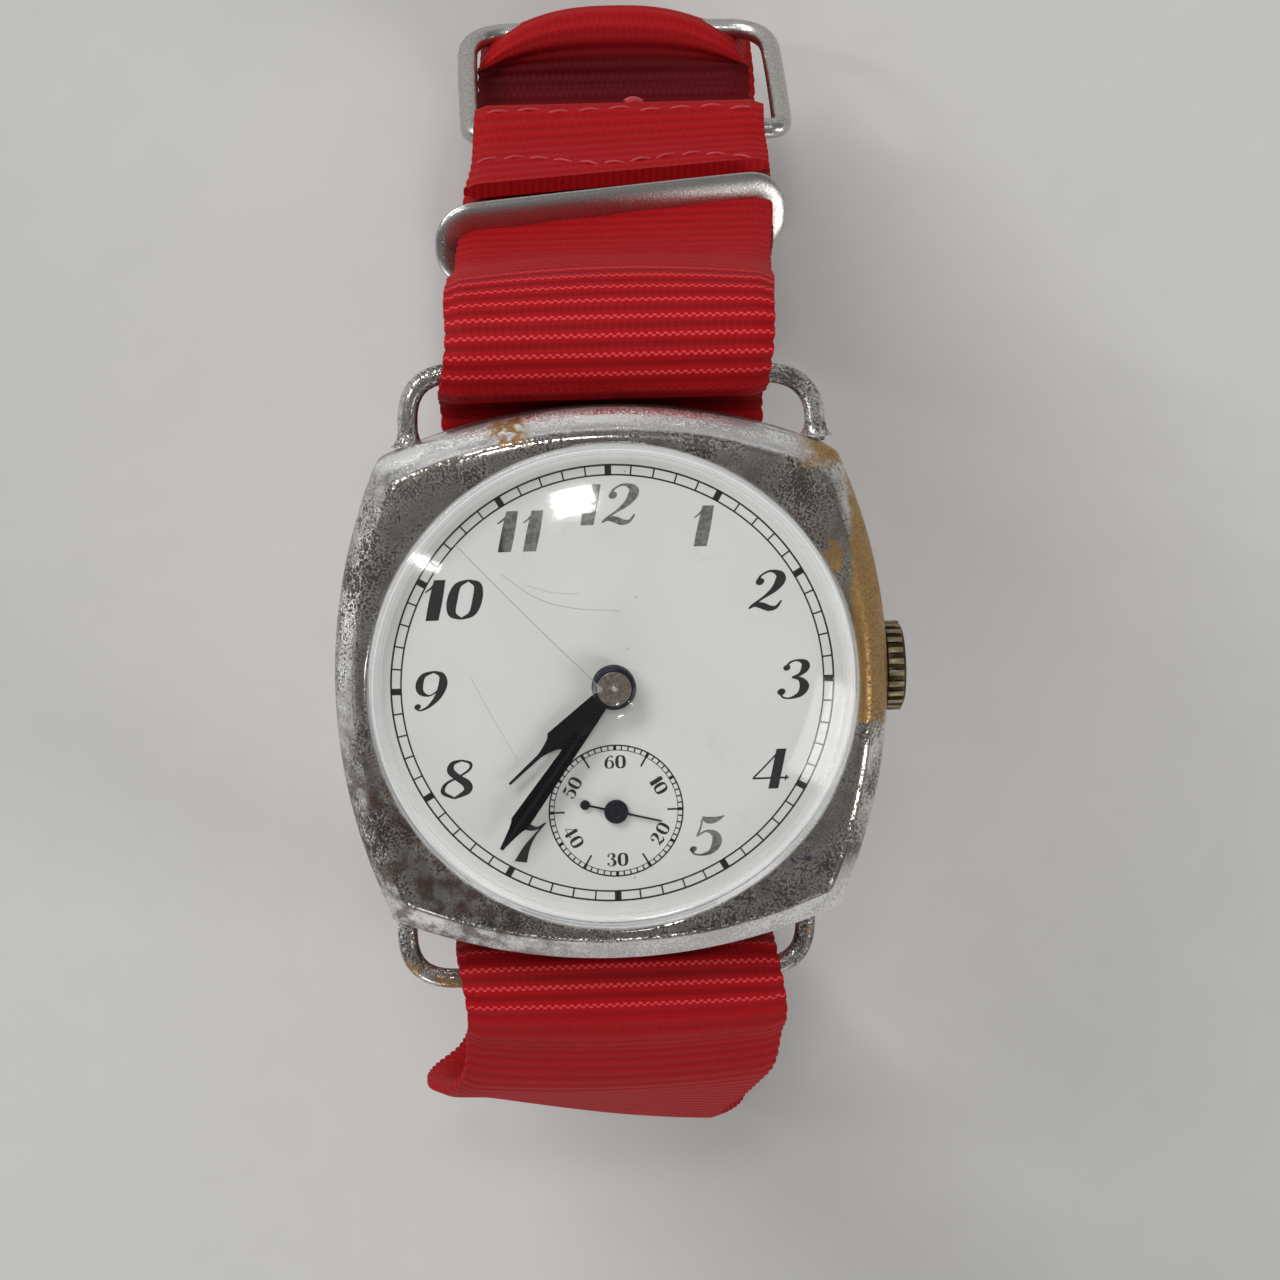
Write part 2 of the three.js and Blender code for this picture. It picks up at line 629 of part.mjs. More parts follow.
function trainBridge() {
  const shape = new THREE.Shape();
  const reach = 11.5;
  shape.moveTo(-1.3, 1.5);
  shape.lineTo(-1.3, -4.3);
  shape.lineTo(-4.2, -7.2);
  shape.absarc(0, 0, reach, THREE.MathUtils.degToRad(249), THREE.MathUtils.degToRad(351.5), false);
  shape.lineTo(5.4, -1.7);
  shape.lineTo(4.8, 1.5);
  return drilled(bridge(shape, PILLARS.train), [CENTER, THIRD, FOURTH, ESCAPE], PILLARS.train);
}

function balanceCock() {
  const [footX, footY] = PILLARS.cock[0];
  const shape = outline([[footX - 1.1, footY - 0.2], [footX + 1.1, footY - 0.2], [-5.2, -6.0],
    [-5.3, -2.0], [-6.2, -1.6], [-7.1, -2.0], [-7.4, -6.0]]);
  return drilled(bridge(shape, PILLARS.cock), [BALANCE], PILLARS.cock);
}

function palletBridge() {
  const shape = outline([[-0.45, -2.1], [0.45, -2.1], [0.45, 0.5], [-0.45, 0.5]]);
  const body = slab(shape, ...LAYER.palletBridge);
  const foot = rod(0.4, 46.65, LEVEL.plateLow - 0.03, 0, -1.75, 10);
  const hole = rod(0.2, 46, 46.8, 0, 0, 8);
  return turnedAbout(cut(joined(body, foot), hole), PALLET, LEVER_ANGLE - 180);
}

function mainplate() {
  const body = turned([[0, LEVEL.plateLow], [MOVEMENT_RADIUS, LEVEL.plateLow],
    [MOVEMENT_RADIUS, LEVEL.dialLow - 0.04], [10.9, LEVEL.dialLow - 0.04], [10.9, LEVEL.plateHigh],
    [0, LEVEL.plateHigh]], 32);
  const tools = PIVOTS.slice(1).map(({ x, y }) => rod(0.25, 47, 49, x, y, 8));
  tools.push(rod(0.38, 47, 49, 0, 0, 10));
  tools.push(rod(0.42, 47, 48, BARREL.x, BARREL.y, 10));
  for (const [x, y] of Object.values(PILLARS).flat()) {
    tools.push(rod(0.42, 47, 47.98, x, y, 8));
  }
  const recess = new THREE.BoxGeometry(4.6, 3.4, 1);
  recess.translate(8.2, 0, LEVEL.plateLow - 0.1);
  tools.push(recess);
  return cut(body, ...tools);
}

// ---------------------------------------------------------------- motion work

const MINUTE_WHEEL = {
  x: 2.6 * Math.cos(THREE.MathUtils.degToRad(MOTION.angle)),
  y: 2.6 * Math.sin(THREE.MathUtils.degToRad(MOTION.angle)),
};

function cannonPinion() {
  const phase = bearing(CENTER, MINUTE_WHEEL);
  const leaves = gear(MOTION.cannon, MOTION.module, ...LAYER.cannonLeaves, 0, 0, phase);
  const tube = rod(0.55, 48.28, 50.7, 0, 0, 12);
  return cut(joined(leaves, tube), rod(0.34, 48, 51, 0, 0, 10));
}

function minuteWheel() {
  const { x, y } = MINUTE_WHEEL;
  const back = bearing(MINUTE_WHEEL, CENTER);
  const wheel = gear(MOTION.minute, MOTION.module, ...LAYER.minuteWheel, x, y, gapAt(back, MOTION.minute));
  const pinion = gear(MOTION.minutePinion, MOTION.module, ...LAYER.minutePinion, x, y, back);
  return joined(wheel, pinion);
}

function hourWheel() {
  const phase = gapAt(bearing(CENTER, MINUTE_WHEEL), MOTION.hour);
  const wheel = gear(MOTION.hour, MOTION.module, ...LAYER.hourWheel, 0, 0, phase);
  const tube = rod(0.82, 48.62, 50.2, 0, 0, 14);
  return cut(joined(wheel, tube), rod(0.6, 48, 51, 0, 0, 12));
}

// ---------------------------------------------------------------- strap

function eased(from, to, value) {
  const part = THREE.MathUtils.clamp((value - from) / (to - from), 0, 1);
  return part * part * (3 - 2 * part);
}

// The worn strap lies askew: each side wanders sideways as it leaves the case.
function sideways(y, z) {
  const clearOfCase = eased(15, 20, Math.abs(y));
  const wander12 = STRAP.lean12 + (STRAP.drift12 - STRAP.lean12) * eased(47, 17, z);
  const wander6 = STRAP.lean6 + (STRAP.drift6 - STRAP.lean6) * eased(46, 30, z) * eased(19, 31, z);
  const wander = y > 0 ? wander12 * eased(0.6, 3, z) : wander6 * eased(2, 12, z);
  return clearOfCase * wander + STRAP.floorShift * eased(12, 2, z);
}

// A point beside the straight stretch: distance up from the buckle's near bar, and distance out.
function beside(up, out) {
  return [BUCKLE.nearY + up * ALONG[0] + out * OUT[0], BUCKLE.nearZ + up * ALONG[1] + out * OUT[1]];
}

// The strap's middle line from the sewn flap's end to the tail's tip, as [y, z] points.
function strapRoute() {
  const flap = [beside(7.8, 0.64), beside(5.6, 0.64), beside(3.4, 0.72), beside(1.2, 1.25)];
  const eye = [beside(0, 1.36), beside(-1, 0.92), beside(-1.36, 0), beside(-1, -0.92), beside(0, -1.36)];
  const main = [beside(1.2, -1.25), beside(3.6, -0.72), beside(7, -0.64), beside(16.5, -0.64)];
  const crest = [[21.3, 42.0], [20.9, 44.9], [19.5, 46.9], [17.7, 47.55], [16.1, 47.05], [15.57, 45.9]];
  const under = [[15.4, 44.2], [14.5, 42.85], [12.4, 42.5], [0, 42.5]];
  const left = under.slice(0, 3).reverse().map(([y, z]) => [-y, z]);
  const leftCrest = crest.slice(1).reverse().map(([y, z]) => [-y, z]);
  const leftSide = [[-24.0, 42.0], [-27.7, 34], [-29.8, 25], [-29.0, 14.5], [-24.6, 5.6], [-17.0, 1.15]];
  const floor = [[-12, 0.55], [0, 0.55], [12, 0.55]];
  const rise = [[21, 0.9], [29.5, 3.0], [34.2, 6.2], [36.1, 9.2]];
  const overBar = [[36.45, 10.5], [36.0, 11.65], [34.9, 12.0], [33.6, 11.5], [31.4, 11.5], [28.9, 14.2]];
  const tail = [beside(-0.4, -2.8), beside(3.6, -1.95), beside(7, -1.9), beside(15.5, -1.9)];
  return [...flap, ...eye, ...main, ...crest, ...under, ...left, ...leftCrest, ...leftSide,
    ...floor, ...rise, ...overBar, ...tail];
}

function strapBand() {
  const points = strapRoute().map(([y, z]) => new THREE.Vector3(0, y, z));
  const curve = new THREE.CatmullRomCurve3(points, false, 'centripetal');
  const steps = 2 * (points.length - 1);
  const half = STRAP.thickness / 2;
  const sides = [[], []];
  for (let i = 0; i <= steps; i += 1) {
    const at = curve.getPoint(i / steps);
    const along = curve.getTangent(i / steps);
    sides[0].push([at.y - along.z * half, at.z + along.y * half]);
    sides[1].push([at.y + along.z * half, at.z - along.y * half]);
  }
  const floorLevel = ([y, z]) => [y, Math.max(z, 0)];
  const loop = [...sides[0], ...sides[1].reverse()].map(floorLevel);
  const band = slab(outline(loop), -STRAP.width / 2, STRAP.width / 2);
  const turn = new THREE.Matrix4().set(0, 0, 1, 0, 1, 0, 0, 0, 0, 1, 0, 0, 0, 0, 0, 1);
  band.applyMatrix4(turn);
  const holed = cut(band, ...strapHoles());
  const position = holed.attributes.position;
  for (let i = 0; i < position.count; i += 1) {
    const y = position.getY(i);
    const z = position.getZ(i);
    const pinched = y > 27 && z < 23 ? STRAP.pinch : 1;
    position.setX(i, position.getX(i) * pinched + sideways(y, z));
  }
  return holed;
}

// Punched holes along the tail.
function strapHoles() {
  return [-10, -3, 4, 11].map((y) => rod(0.8, -1, 2, 0, y, 10));
}

// ---------------------------------------------------------------- buckle and keeper

// Frame of reference beside the strap: local X towards 9 o'clock, local Y up along it, local Z out of it.
function placedBeside(geometry, up, out, shiftX) {
  const [y, z] = beside(up, out);
  const basis = new THREE.Matrix4().set(
    -1, 0, 0, shiftX, 0, ALONG[0], OUT[0], y, 0, ALONG[1], OUT[1], z, 0, 0, 0, 1);
  geometry.applyMatrix4(basis);
  return geometry;
}

function roundedLoop(width, height, upperRadius, lowerRadius) {
  const loop = new THREE.CurvePath();
  const corner = (sx, sy) => new THREE.Vector3((sx * width) / 2, (sy * height) / 2, 0);
  const order = [[1, 1], [-1, 1], [-1, -1], [1, -1]];
  order.forEach(([sx, sy], i) => {
    const here = corner(sx, sy);
    const before = corner(...order[(i + 3) % 4]);
    const next = corner(...order[(i + 1) % 4]);
    const radius = sy > 0 ? upperRadius : lowerRadius;
    const nextRadius = order[(i + 1) % 4][1] > 0 ? upperRadius : lowerRadius;
    const enter = here.clone().add(before.sub(here).setLength(radius));
    const leave = here.clone().add(next.clone().sub(here).setLength(radius));
    const nextEnter = next.clone().add(here.clone().sub(next).setLength(nextRadius));
    loop.add(new THREE.QuadraticBezierCurve3(enter, here, leave));
    loop.add(new THREE.LineCurve3(leave, nextEnter));
  });
  return loop;
}

// A closed wire ring, built as a ribbon of section rings so that its ends meet.
function wireRing(path, radius, steps, sides = 8) {
  const points = path.getSpacedPoints(steps).slice(0, steps);
  const closed = new THREE.CatmullRomCurve3(points, true, 'centripetal');
  const half = Math.PI / sides;
  const ring = new THREE.Shape(Array.from({ length: sides }, (_, i) => new THREE.Vector2(
    radius * Math.cos(2 * half * i + half), radius * Math.sin(2 * half * i + half))));
  return new THREE.ExtrudeGeometry(ring, { steps, extrudePath: closed, bevelEnabled: false });
}

function buckleFrame() {
  const { inner, wireRadius, reach, hang } = BUCKLE;
  const path = roundedLoop(inner + 2 * wireRadius, reach, 0.8, 1.4);
  const ring = wireRing(path, wireRadius, 48, 6);
  ring.translate(0, -reach / 2, 0);
  ring.rotateX(-THREE.MathUtils.degToRad(hang));
  return placedBeside(ring, 0, 0, STRAP.drift12);
}

function keeperLoop() {
  const { along, innerWidth, innerDepth, wall, length, tilt } = KEEPER;
  const outer = new THREE.Shape();
  const width = innerWidth + 2 * wall;
  const depth = innerDepth + 2 * wall;
  const radius = 1.1;
  const right = width / 2 - radius;
  const top = depth / 2 - radius;
  outer.absarc(right, top, radius, 0, Math.PI / 2, false);
  outer.absarc(-right, top, radius, Math.PI / 2, Math.PI, false);
  outer.absarc(-right, -top, radius, Math.PI, 1.5 * Math.PI, false);
  outer.absarc(right, -top, radius, 1.5 * Math.PI, 2 * Math.PI, false);
  const opening = new THREE.Path();
  opening.moveTo(-innerWidth / 2, -innerDepth / 2);
  opening.lineTo(-innerWidth / 2, innerDepth / 2);
  opening.lineTo(innerWidth / 2, innerDepth / 2);
  opening.lineTo(innerWidth / 2, -innerDepth / 2);
  opening.closePath();
  outer.holes.push(opening);
  const ring = slab(outer, -length / 2, length / 2, 4);
  ring.rotateX(Math.PI / 2);
  ring.rotateZ(-THREE.MathUtils.degToRad(tilt));
  const [y, z] = beside(along, 0);
  return placedBeside(ring, along, -1.27, sideways(y, z) + 0.03);
}

// ---------------------------------------------------------------- assembly

const watch = new THREE.Group();

function place(name, geometry, kind) {
  const mesh = new THREE.Mesh(geometry, finish(kind));
  mesh.name = name;
  watch.add(mesh);
}

place('case_middle', caseMiddle(), METAL.nickel);
place('bezel', bezel(), METAL.nickel);
place('case_back', caseBack(), METAL.nickel);
place('crystal', domedCrystal(), PLAIN.glass);
place('lug_wire_12', lugWire(1), METAL.nickel);
place('lug_wire_6', lugWire(-1), METAL.nickel);
place('crown_tube', crownTube(), METAL.brass);

place('dial', dialPlate(), PLAIN.dialWhite);
place('hour_hand', hourHand(), METAL.blued);
place('minute_hand', minuteHand(), METAL.blued);
place('second_hand', secondHand(), METAL.blued);

place('crown', crownKnob(), METAL.crownBrass);
place('winding_stem', windingStem(), METAL.steel);
place('winding_pinion', onStem(12, 1.08, 1.3, STEM_RADIUS + 0.05, 6.5, 7.7), METAL.steel);
place('sliding_clutch', onStem(10, 0.95, 1.15, STEM_RADIUS + 0.03, 8.75, 10.2), METAL.steel);
place('crown_wheel', crownWheel(), METAL.steel);
place('crown_wheel_screw', crownWheelScrew(), METAL.steel);
place('ratchet_wheel', ratchetWheel(), METAL.steel);
place('ratchet_screw', backScrew(BARREL.x, BARREL.y, 0.85, 44.22, 44.5, 0.2, 45.4), METAL.steel);
place('click', click(), METAL.steel);
place('click_screw', clickScrew(), METAL.steel);
place('click_spring', clickSpring(), METAL.steel);

place('barrel_drum', barrelDrum(), METAL.gilt);
place('barrel_lid', barrelLid(), METAL.gilt);
place('barrel_arbor', barrelArbor(), METAL.steel);
place('mainspring', mainspring(), METAL.steel);
place('center_wheel', centerWheel(), METAL.gilt);
place('third_wheel', thirdWheel(), METAL.gilt);
place('fourth_wheel', fourthWheel(), METAL.gilt);
place('escape_wheel', escapeWheel(), METAL.steel);
place('pallet_fork', palletFork(), METAL.steel);
place('balance_wheel', balanceWheel(), METAL.gilt);
place('balance_staff', balanceStaff(), METAL.steel);
place('hairspring', hairspring(), METAL.blued);
place('cannon_pinion', cannonPinion(), METAL.steel);
place('minute_wheel', minuteWheel(), METAL.gilt);
place('hour_wheel', hourWheel(), METAL.gilt);

place('mainplate', mainplate(), METAL.nickel);
place('barrel_bridge', barrelBridge(), METAL.nickel);
place('train_bridge', trainBridge(), METAL.nickel);
place('balance_cock', balanceCock(), METAL.nickel);
place('pallet_bridge', palletBridge(), METAL.nickel);
Object.values(PILLARS).flat().forEach(([x, y], i) => {
  place(`bridge_screw_${i + 1}`, backScrew(x, y, 0.75, 44.78, 45.02, 0.36, 47.9), METAL.steel);
});

place('strap_band', strapBand(), PLAIN.webbing);
place('keeper_loop', keeperLoop(), METAL.steel);
place('buckle_frame', buckleFrame(), METAL.steel);

export default watch;
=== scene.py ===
import json
import math

import bmesh
import bpy
import numpy as np
from mathutils import Matrix, Vector


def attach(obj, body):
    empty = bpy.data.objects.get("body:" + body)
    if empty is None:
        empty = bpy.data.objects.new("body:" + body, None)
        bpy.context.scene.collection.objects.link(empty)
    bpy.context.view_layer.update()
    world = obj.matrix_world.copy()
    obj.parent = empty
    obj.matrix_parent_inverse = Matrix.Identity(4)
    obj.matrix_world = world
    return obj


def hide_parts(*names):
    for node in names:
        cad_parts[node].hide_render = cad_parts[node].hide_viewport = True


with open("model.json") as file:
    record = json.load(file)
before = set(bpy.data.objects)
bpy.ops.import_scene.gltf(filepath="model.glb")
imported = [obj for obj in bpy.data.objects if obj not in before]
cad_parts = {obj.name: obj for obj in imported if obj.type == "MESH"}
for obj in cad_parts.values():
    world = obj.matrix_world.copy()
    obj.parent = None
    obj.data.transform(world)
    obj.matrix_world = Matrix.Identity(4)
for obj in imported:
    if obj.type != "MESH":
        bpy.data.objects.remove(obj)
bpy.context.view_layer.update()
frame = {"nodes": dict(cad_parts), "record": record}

# The watch is worked in millimetres and every finished piece is brought down to metres at once.
MM = 0.001

# ------------------------------------------------------------------ driving sizes, in millimetres

CASE_HALF = 14.9
SIDE_RADIUS = 30.4
CORNER_RADIUS = 0.8
OPENING = 13.3
BEZEL_LOW = 48.38
BEZEL_HIGH = 51.0
DIAL_TOP = 49.6
DIAL_RADIUS = 13.2
SECONDS_Y = -6.97
STEM_LEVEL = 46.3
LUG_LEVEL = 46.0
LUG_WIRE = 0.55
STRAP_WIDTH = 18.0
STRAP_HALF_THICK = 0.43
RIB_PITCH = 0.9
RIB_HEIGHT = 0.045
NEAR_BAR = Vector((0.0, 28.9, 20.0))
ALONG = Vector((0.0, -0.4, 0.9165))
OUT = Vector((0.0, 0.9165, 0.4))
BUCKLE_REACH = 11.35
BUCKLE_HANG = 9.2
BUCKLE_INNER = 17.9
BUCKLE_WIRE = 0.62
KEEPER_UP = 10.6
KEEPER_TILT = -11.0
FLAP_UP = 7.8
DROOP_IN, DROOP_UP = 2.9, 0.5
LEAN_12, DRIFT_12 = 0.5, 2.6
LEAN_6, DRIFT_6 = 0.45, -2.2
DOME_RADIUS, DOME_LOW, DOME_HIGH = 13.24, 50.95, 52.6
HOURS_REACH, SMALL_REACH = 9.85, 2.72
MINUTE_DEG, HOUR_DEG, SECOND_DEG = 216, 228, 104


# ------------------------------------------------------------------ working on a piece

def deselect():
    if bpy.context.object and bpy.context.object.mode != "OBJECT":
        bpy.ops.object.mode_set(mode="OBJECT")
    bpy.ops.object.select_all(action="DESELECT")


def open_mesh(obj, mode="VERT"):
    deselect()
    obj.select_set(True)
    bpy.context.view_layer.objects.active = obj
    bpy.ops.object.mode_set(mode="EDIT")
    bpy.ops.mesh.select_mode(type=mode)


def pick_verts(obj, test):
    mesh = bmesh.from_edit_mesh(obj.data)
    for vert in mesh.verts:
        vert.select_set(bool(test(vert.co)))
    mesh.select_flush(True)
    bmesh.update_edit_mesh(obj.data)


def pick_faces(obj, test):
    bpy.ops.mesh.select_mode(type="FACE")
    mesh = bmesh.from_edit_mesh(obj.data)
    for face in mesh.faces:
        face.select_set(bool(test(face)))
    bmesh.update_edit_mesh(obj.data)


def close_mesh(merge=1e-4):
    bpy.ops.mesh.select_all(action="SELECT")
    bpy.ops.mesh.remove_doubles(threshold=merge)
    bpy.ops.mesh.normals_make_consistent(inside=False)
    bpy.ops.object.mode_set(mode="OBJECT")


def bevelled(obj, width, angle):
    bpy.context.view_layer.objects.active = obj
    bevel = obj.modifiers.new("edges", "BEVEL")
    bevel.width = width
    bevel.segments = 2
    bevel.limit_method = "ANGLE"
    bevel.angle_limit = math.radians(angle)
    bpy.ops.object.modifier_apply(modifier="edges")


def smooth(obj, angle):
    deselect()
    obj.select_set(True)
    bpy.context.view_layer.objects.active = obj
    bpy.ops.object.shade_smooth_by_angle(angle=math.radians(angle))


def finish_piece(obj, name, material, body, replaces=(), angle=35):
    """Brings a piece from millimetres to metres, names and dresses it, and fixes it to its body."""
    obj.name = name
    obj.data.name = name
    if angle:
        smooth(obj, angle)
    deselect()
    obj.data.transform(Matrix.Scale(MM, 4) @ obj.matrix_world)
    obj.matrix_world = Matrix.Identity(4)
    obj.data.materials.clear()
    obj.data.materials.append(material)
    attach(obj, body)
    if replaces:
        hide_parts(*replaces)


def joined(pieces):
    deselect()
    for piece in pieces:
        piece.select_set(True)
    bpy.context.view_layer.objects.active = pieces[0]
    bpy.ops.object.join()
    return pieces[0]


def moved(obj, matrix):
    obj.data.transform(matrix)
    return obj


# ------------------------------------------------------------------ walls pulled ring by ring

def turned(rings, around=96):
    """A turned wall: a circle is pulled through (radius, height) rings. Radius 0 closes to a pole."""
    deselect()
    start_pole = rings[0][0] == 0
    body_rings = [ring for ring in rings if ring[0] > 0]
    radius, height = body_rings[0]
    bpy.ops.mesh.primitive_circle_add(vertices=around, radius=radius, location=(0, 0, 0))
    obj = bpy.context.object
    open_mesh(obj)
    bpy.ops.mesh.select_all(action="SELECT")
    bpy.ops.transform.translate(value=(0, 0, height))
    for next_radius, next_height in body_rings[1:]:
        bpy.ops.mesh.extrude_edges_move(
            TRANSFORM_OT_translate={"value": (0, 0, next_height - height)})
        grow = next_radius / radius
        bpy.ops.transform.resize(value=(grow, grow, 1), center_override=(0, 0, 0))
        radius, height = next_radius, next_height
    if rings[-1][0] == 0:
        close_to_pole(rings[-1][1] - height)
    if start_pole:
        first_radius, first_height = body_rings[0]
        pick_verts(obj, lambda co: abs(co.z - first_height) < 1e-4
                   and abs(math.hypot(co.x, co.y) - first_radius) < 1e-3)
        close_to_pole(rings[0][1] - first_height)
    close_mesh()
    return obj


def close_to_pole(rise):
    bpy.ops.mesh.extrude_edges_move(TRANSFORM_OT_translate={"value": (0, 0, rise)})
    bpy.ops.mesh.merge(type="CENTER")


def cushion_factor(angle):
    """How far the cushion's edge lies in one direction, over its half width."""
    quarter = math.pi / 2
    folded = abs(angle - quarter * round(angle / quarter))
    offset = SIDE_RADIUS - CASE_HALF
    gap = SIDE_RADIUS - CORNER_RADIUS
    diagonal = (math.sqrt(4 * gap ** 2 - 2 * offset ** 2) - math.sqrt(2) * offset) / 2
    corner = diagonal / math.sqrt(2)
    tangent = math.atan2(corner, corner + offset)
    tangent_angle = math.atan2(
        SIDE_RADIUS * math.sin(tangent), SIDE_RADIUS * math.cos(tangent) - offset)
    if folded < tangent_angle:
        along = offset * math.cos(folded)
        return (math.sqrt(along ** 2 - offset ** 2 + SIDE_RADIUS ** 2) - along) / CASE_HALF
    off = math.pi / 4 - folded
    reach = math.sqrt(CORNER_RADIUS ** 2 - (diagonal * math.sin(off)) ** 2)
    return (diagonal * math.cos(off) + reach) / CASE_HALF


def cushioned(obj, round_radius, square_radius):
    """Pushes a turned wall out to the cushion: round inside one radius, full cushion past the other."""
    for vert in obj.data.vertices:
        radius = math.hypot(vert.co.x, vert.co.y)
        share = min(max((radius - round_radius) / (square_radius - round_radius), 0), 1)
        if share > 0:
            factor = 1 + share * (cushion_factor(math.atan2(vert.co.y, vert.co.x)) - 1)
            vert.co.x *= factor
            vert.co.y *= factor
    return obj


# ------------------------------------------------------------------ node recipes

class Recipe:
    """Builds one material's nodes. Patterns are sized in millimetres."""

    def __init__(self, name):
        self.material = bpy.data.materials.new(name)
        self.material.use_nodes = True
        self.tree = self.material.node_tree
        self.shader = self.tree.nodes["Principled BSDF"]
        self.output = self.tree.nodes["Material Output"]
        self.place = self.coordinates()

    def node(self, kind, **settings):
        node = self.tree.nodes.new(kind)
        for key, value in settings.items():
            setattr(node, key, value)
        return node

    def link(self, source, target):
        if isinstance(source, (int, float)):
            target.default_value = source
        elif isinstance(source, (tuple, list)):
            target.default_value = tuple(source) + ((1.0,) if len(source) == 3 else ())
        else:
            self.tree.links.new(source, target)

    def coordinates(self):
        source = self.node("ShaderNodeTexCoord")
        mapping = self.node("ShaderNodeMapping")
        mapping.inputs["Scale"].default_value = (1 / MM,) * 3
        self.link(source.outputs["Object"], mapping.inputs["Vector"])
        return mapping.outputs["Vector"]

    def stretched(self, scale, vector=None):
        mapping = self.node("ShaderNodeMapping")
        mapping.inputs["Scale"].default_value = scale
        self.link(vector or self.place, mapping.inputs["Vector"])
        return mapping.outputs["Vector"]

    def noise(self, scale, detail=3.0, rough=0.55, vector=None, offset=0.0):
        node = self.node("ShaderNodeTexNoise", noise_dimensions="4D")
        node.inputs["W"].default_value = offset
        node.inputs["Scale"].default_value = scale
        node.inputs["Detail"].default_value = detail
        node.inputs["Roughness"].default_value = rough
        self.link(vector or self.place, node.inputs["Vector"])
        return node.outputs["Fac"]

    def cells(self, scale, vector=None):
        node = self.node("ShaderNodeTexVoronoi")
        node.inputs["Scale"].default_value = scale
        self.link(vector or self.place, node.inputs["Vector"])
        return node.outputs["Distance"]

    def axes(self, vector=None):
        node = self.node("ShaderNodeSeparateXYZ")
        self.link(vector or self.place, node.inputs[0])
        return node.outputs

    def math(self, operation, first, second=0.0, clamp=False):
        node = self.node("ShaderNodeMath", operation=operation, use_clamp=clamp)
        self.link(first, node.inputs[0])
        self.link(second, node.inputs[1])
        return node.outputs[0]

    def times(self, first, *others):
        for other in others:
            first = self.math("MULTIPLY", first, other)
        return first

    def plus(self, first, second, clamp=False):
        return self.math("ADD", first, second, clamp)

    def minus(self, first, second):
        return self.math("SUBTRACT", first, second)

    def squares(self, first, second):
        return self.plus(self.math("POWER", first, 2.0), self.math("POWER", second, 2.0))

    def radius(self, first, second):
        """Distance from an axis, from the two places square to it."""
        return self.math("SQRT", self.squares(first, second))

    def step(self, value, low, high, to_low=0.0, to_high=1.0):
        """Eases from one value to another as the input goes from low to high."""
        node = self.node("ShaderNodeMapRange", interpolation_type="SMOOTHSTEP")
        self.link(value, node.inputs["Value"])
        node.inputs["From Min"].default_value = low
        node.inputs["From Max"].default_value = high
        node.inputs["To Min"].default_value = to_low
        node.inputs["To Max"].default_value = to_high
        return node.outputs["Result"]

    def blend(self, share, first, second):
        node = self.node("ShaderNodeMix", data_type="RGBA")
        self.link(share, node.inputs["Factor"])
        self.link(first, node.inputs[6])
        self.link(second, node.inputs[7])
        return node.outputs[2]

    def window(self, value, low, high, soft):
        """One between low and high, falling off softly past both."""
        rising = self.step(value, low - soft, low + soft)
        falling = self.step(value, high - soft, high + soft, 1.0, 0.0)
        return self.times(rising, falling)

    def bump(self, height, strength, distance=0.1, under=None):
        node = self.node("ShaderNodeBump")
        node.inputs["Strength"].default_value = strength
        node.inputs["Distance"].default_value = distance * MM
        self.link(height, node.inputs["Height"])
        if under is not None:
            self.link(under, node.inputs["Normal"])
        return node.outputs["Normal"]

    def set(self, **sockets):
        names = {"colour": "Base Color", "metal": "Metallic", "rough": "Roughness",
                 "normal": "Normal", "sheen": "Sheen Weight", "specular": "Specular IOR Level"}
        for key, value in sockets.items():
            self.link(value, self.shader.inputs[names[key]])
        return self.material


NICKEL = (0.74, 0.73, 0.71)
BRASS = (0.43, 0.27, 0.11)


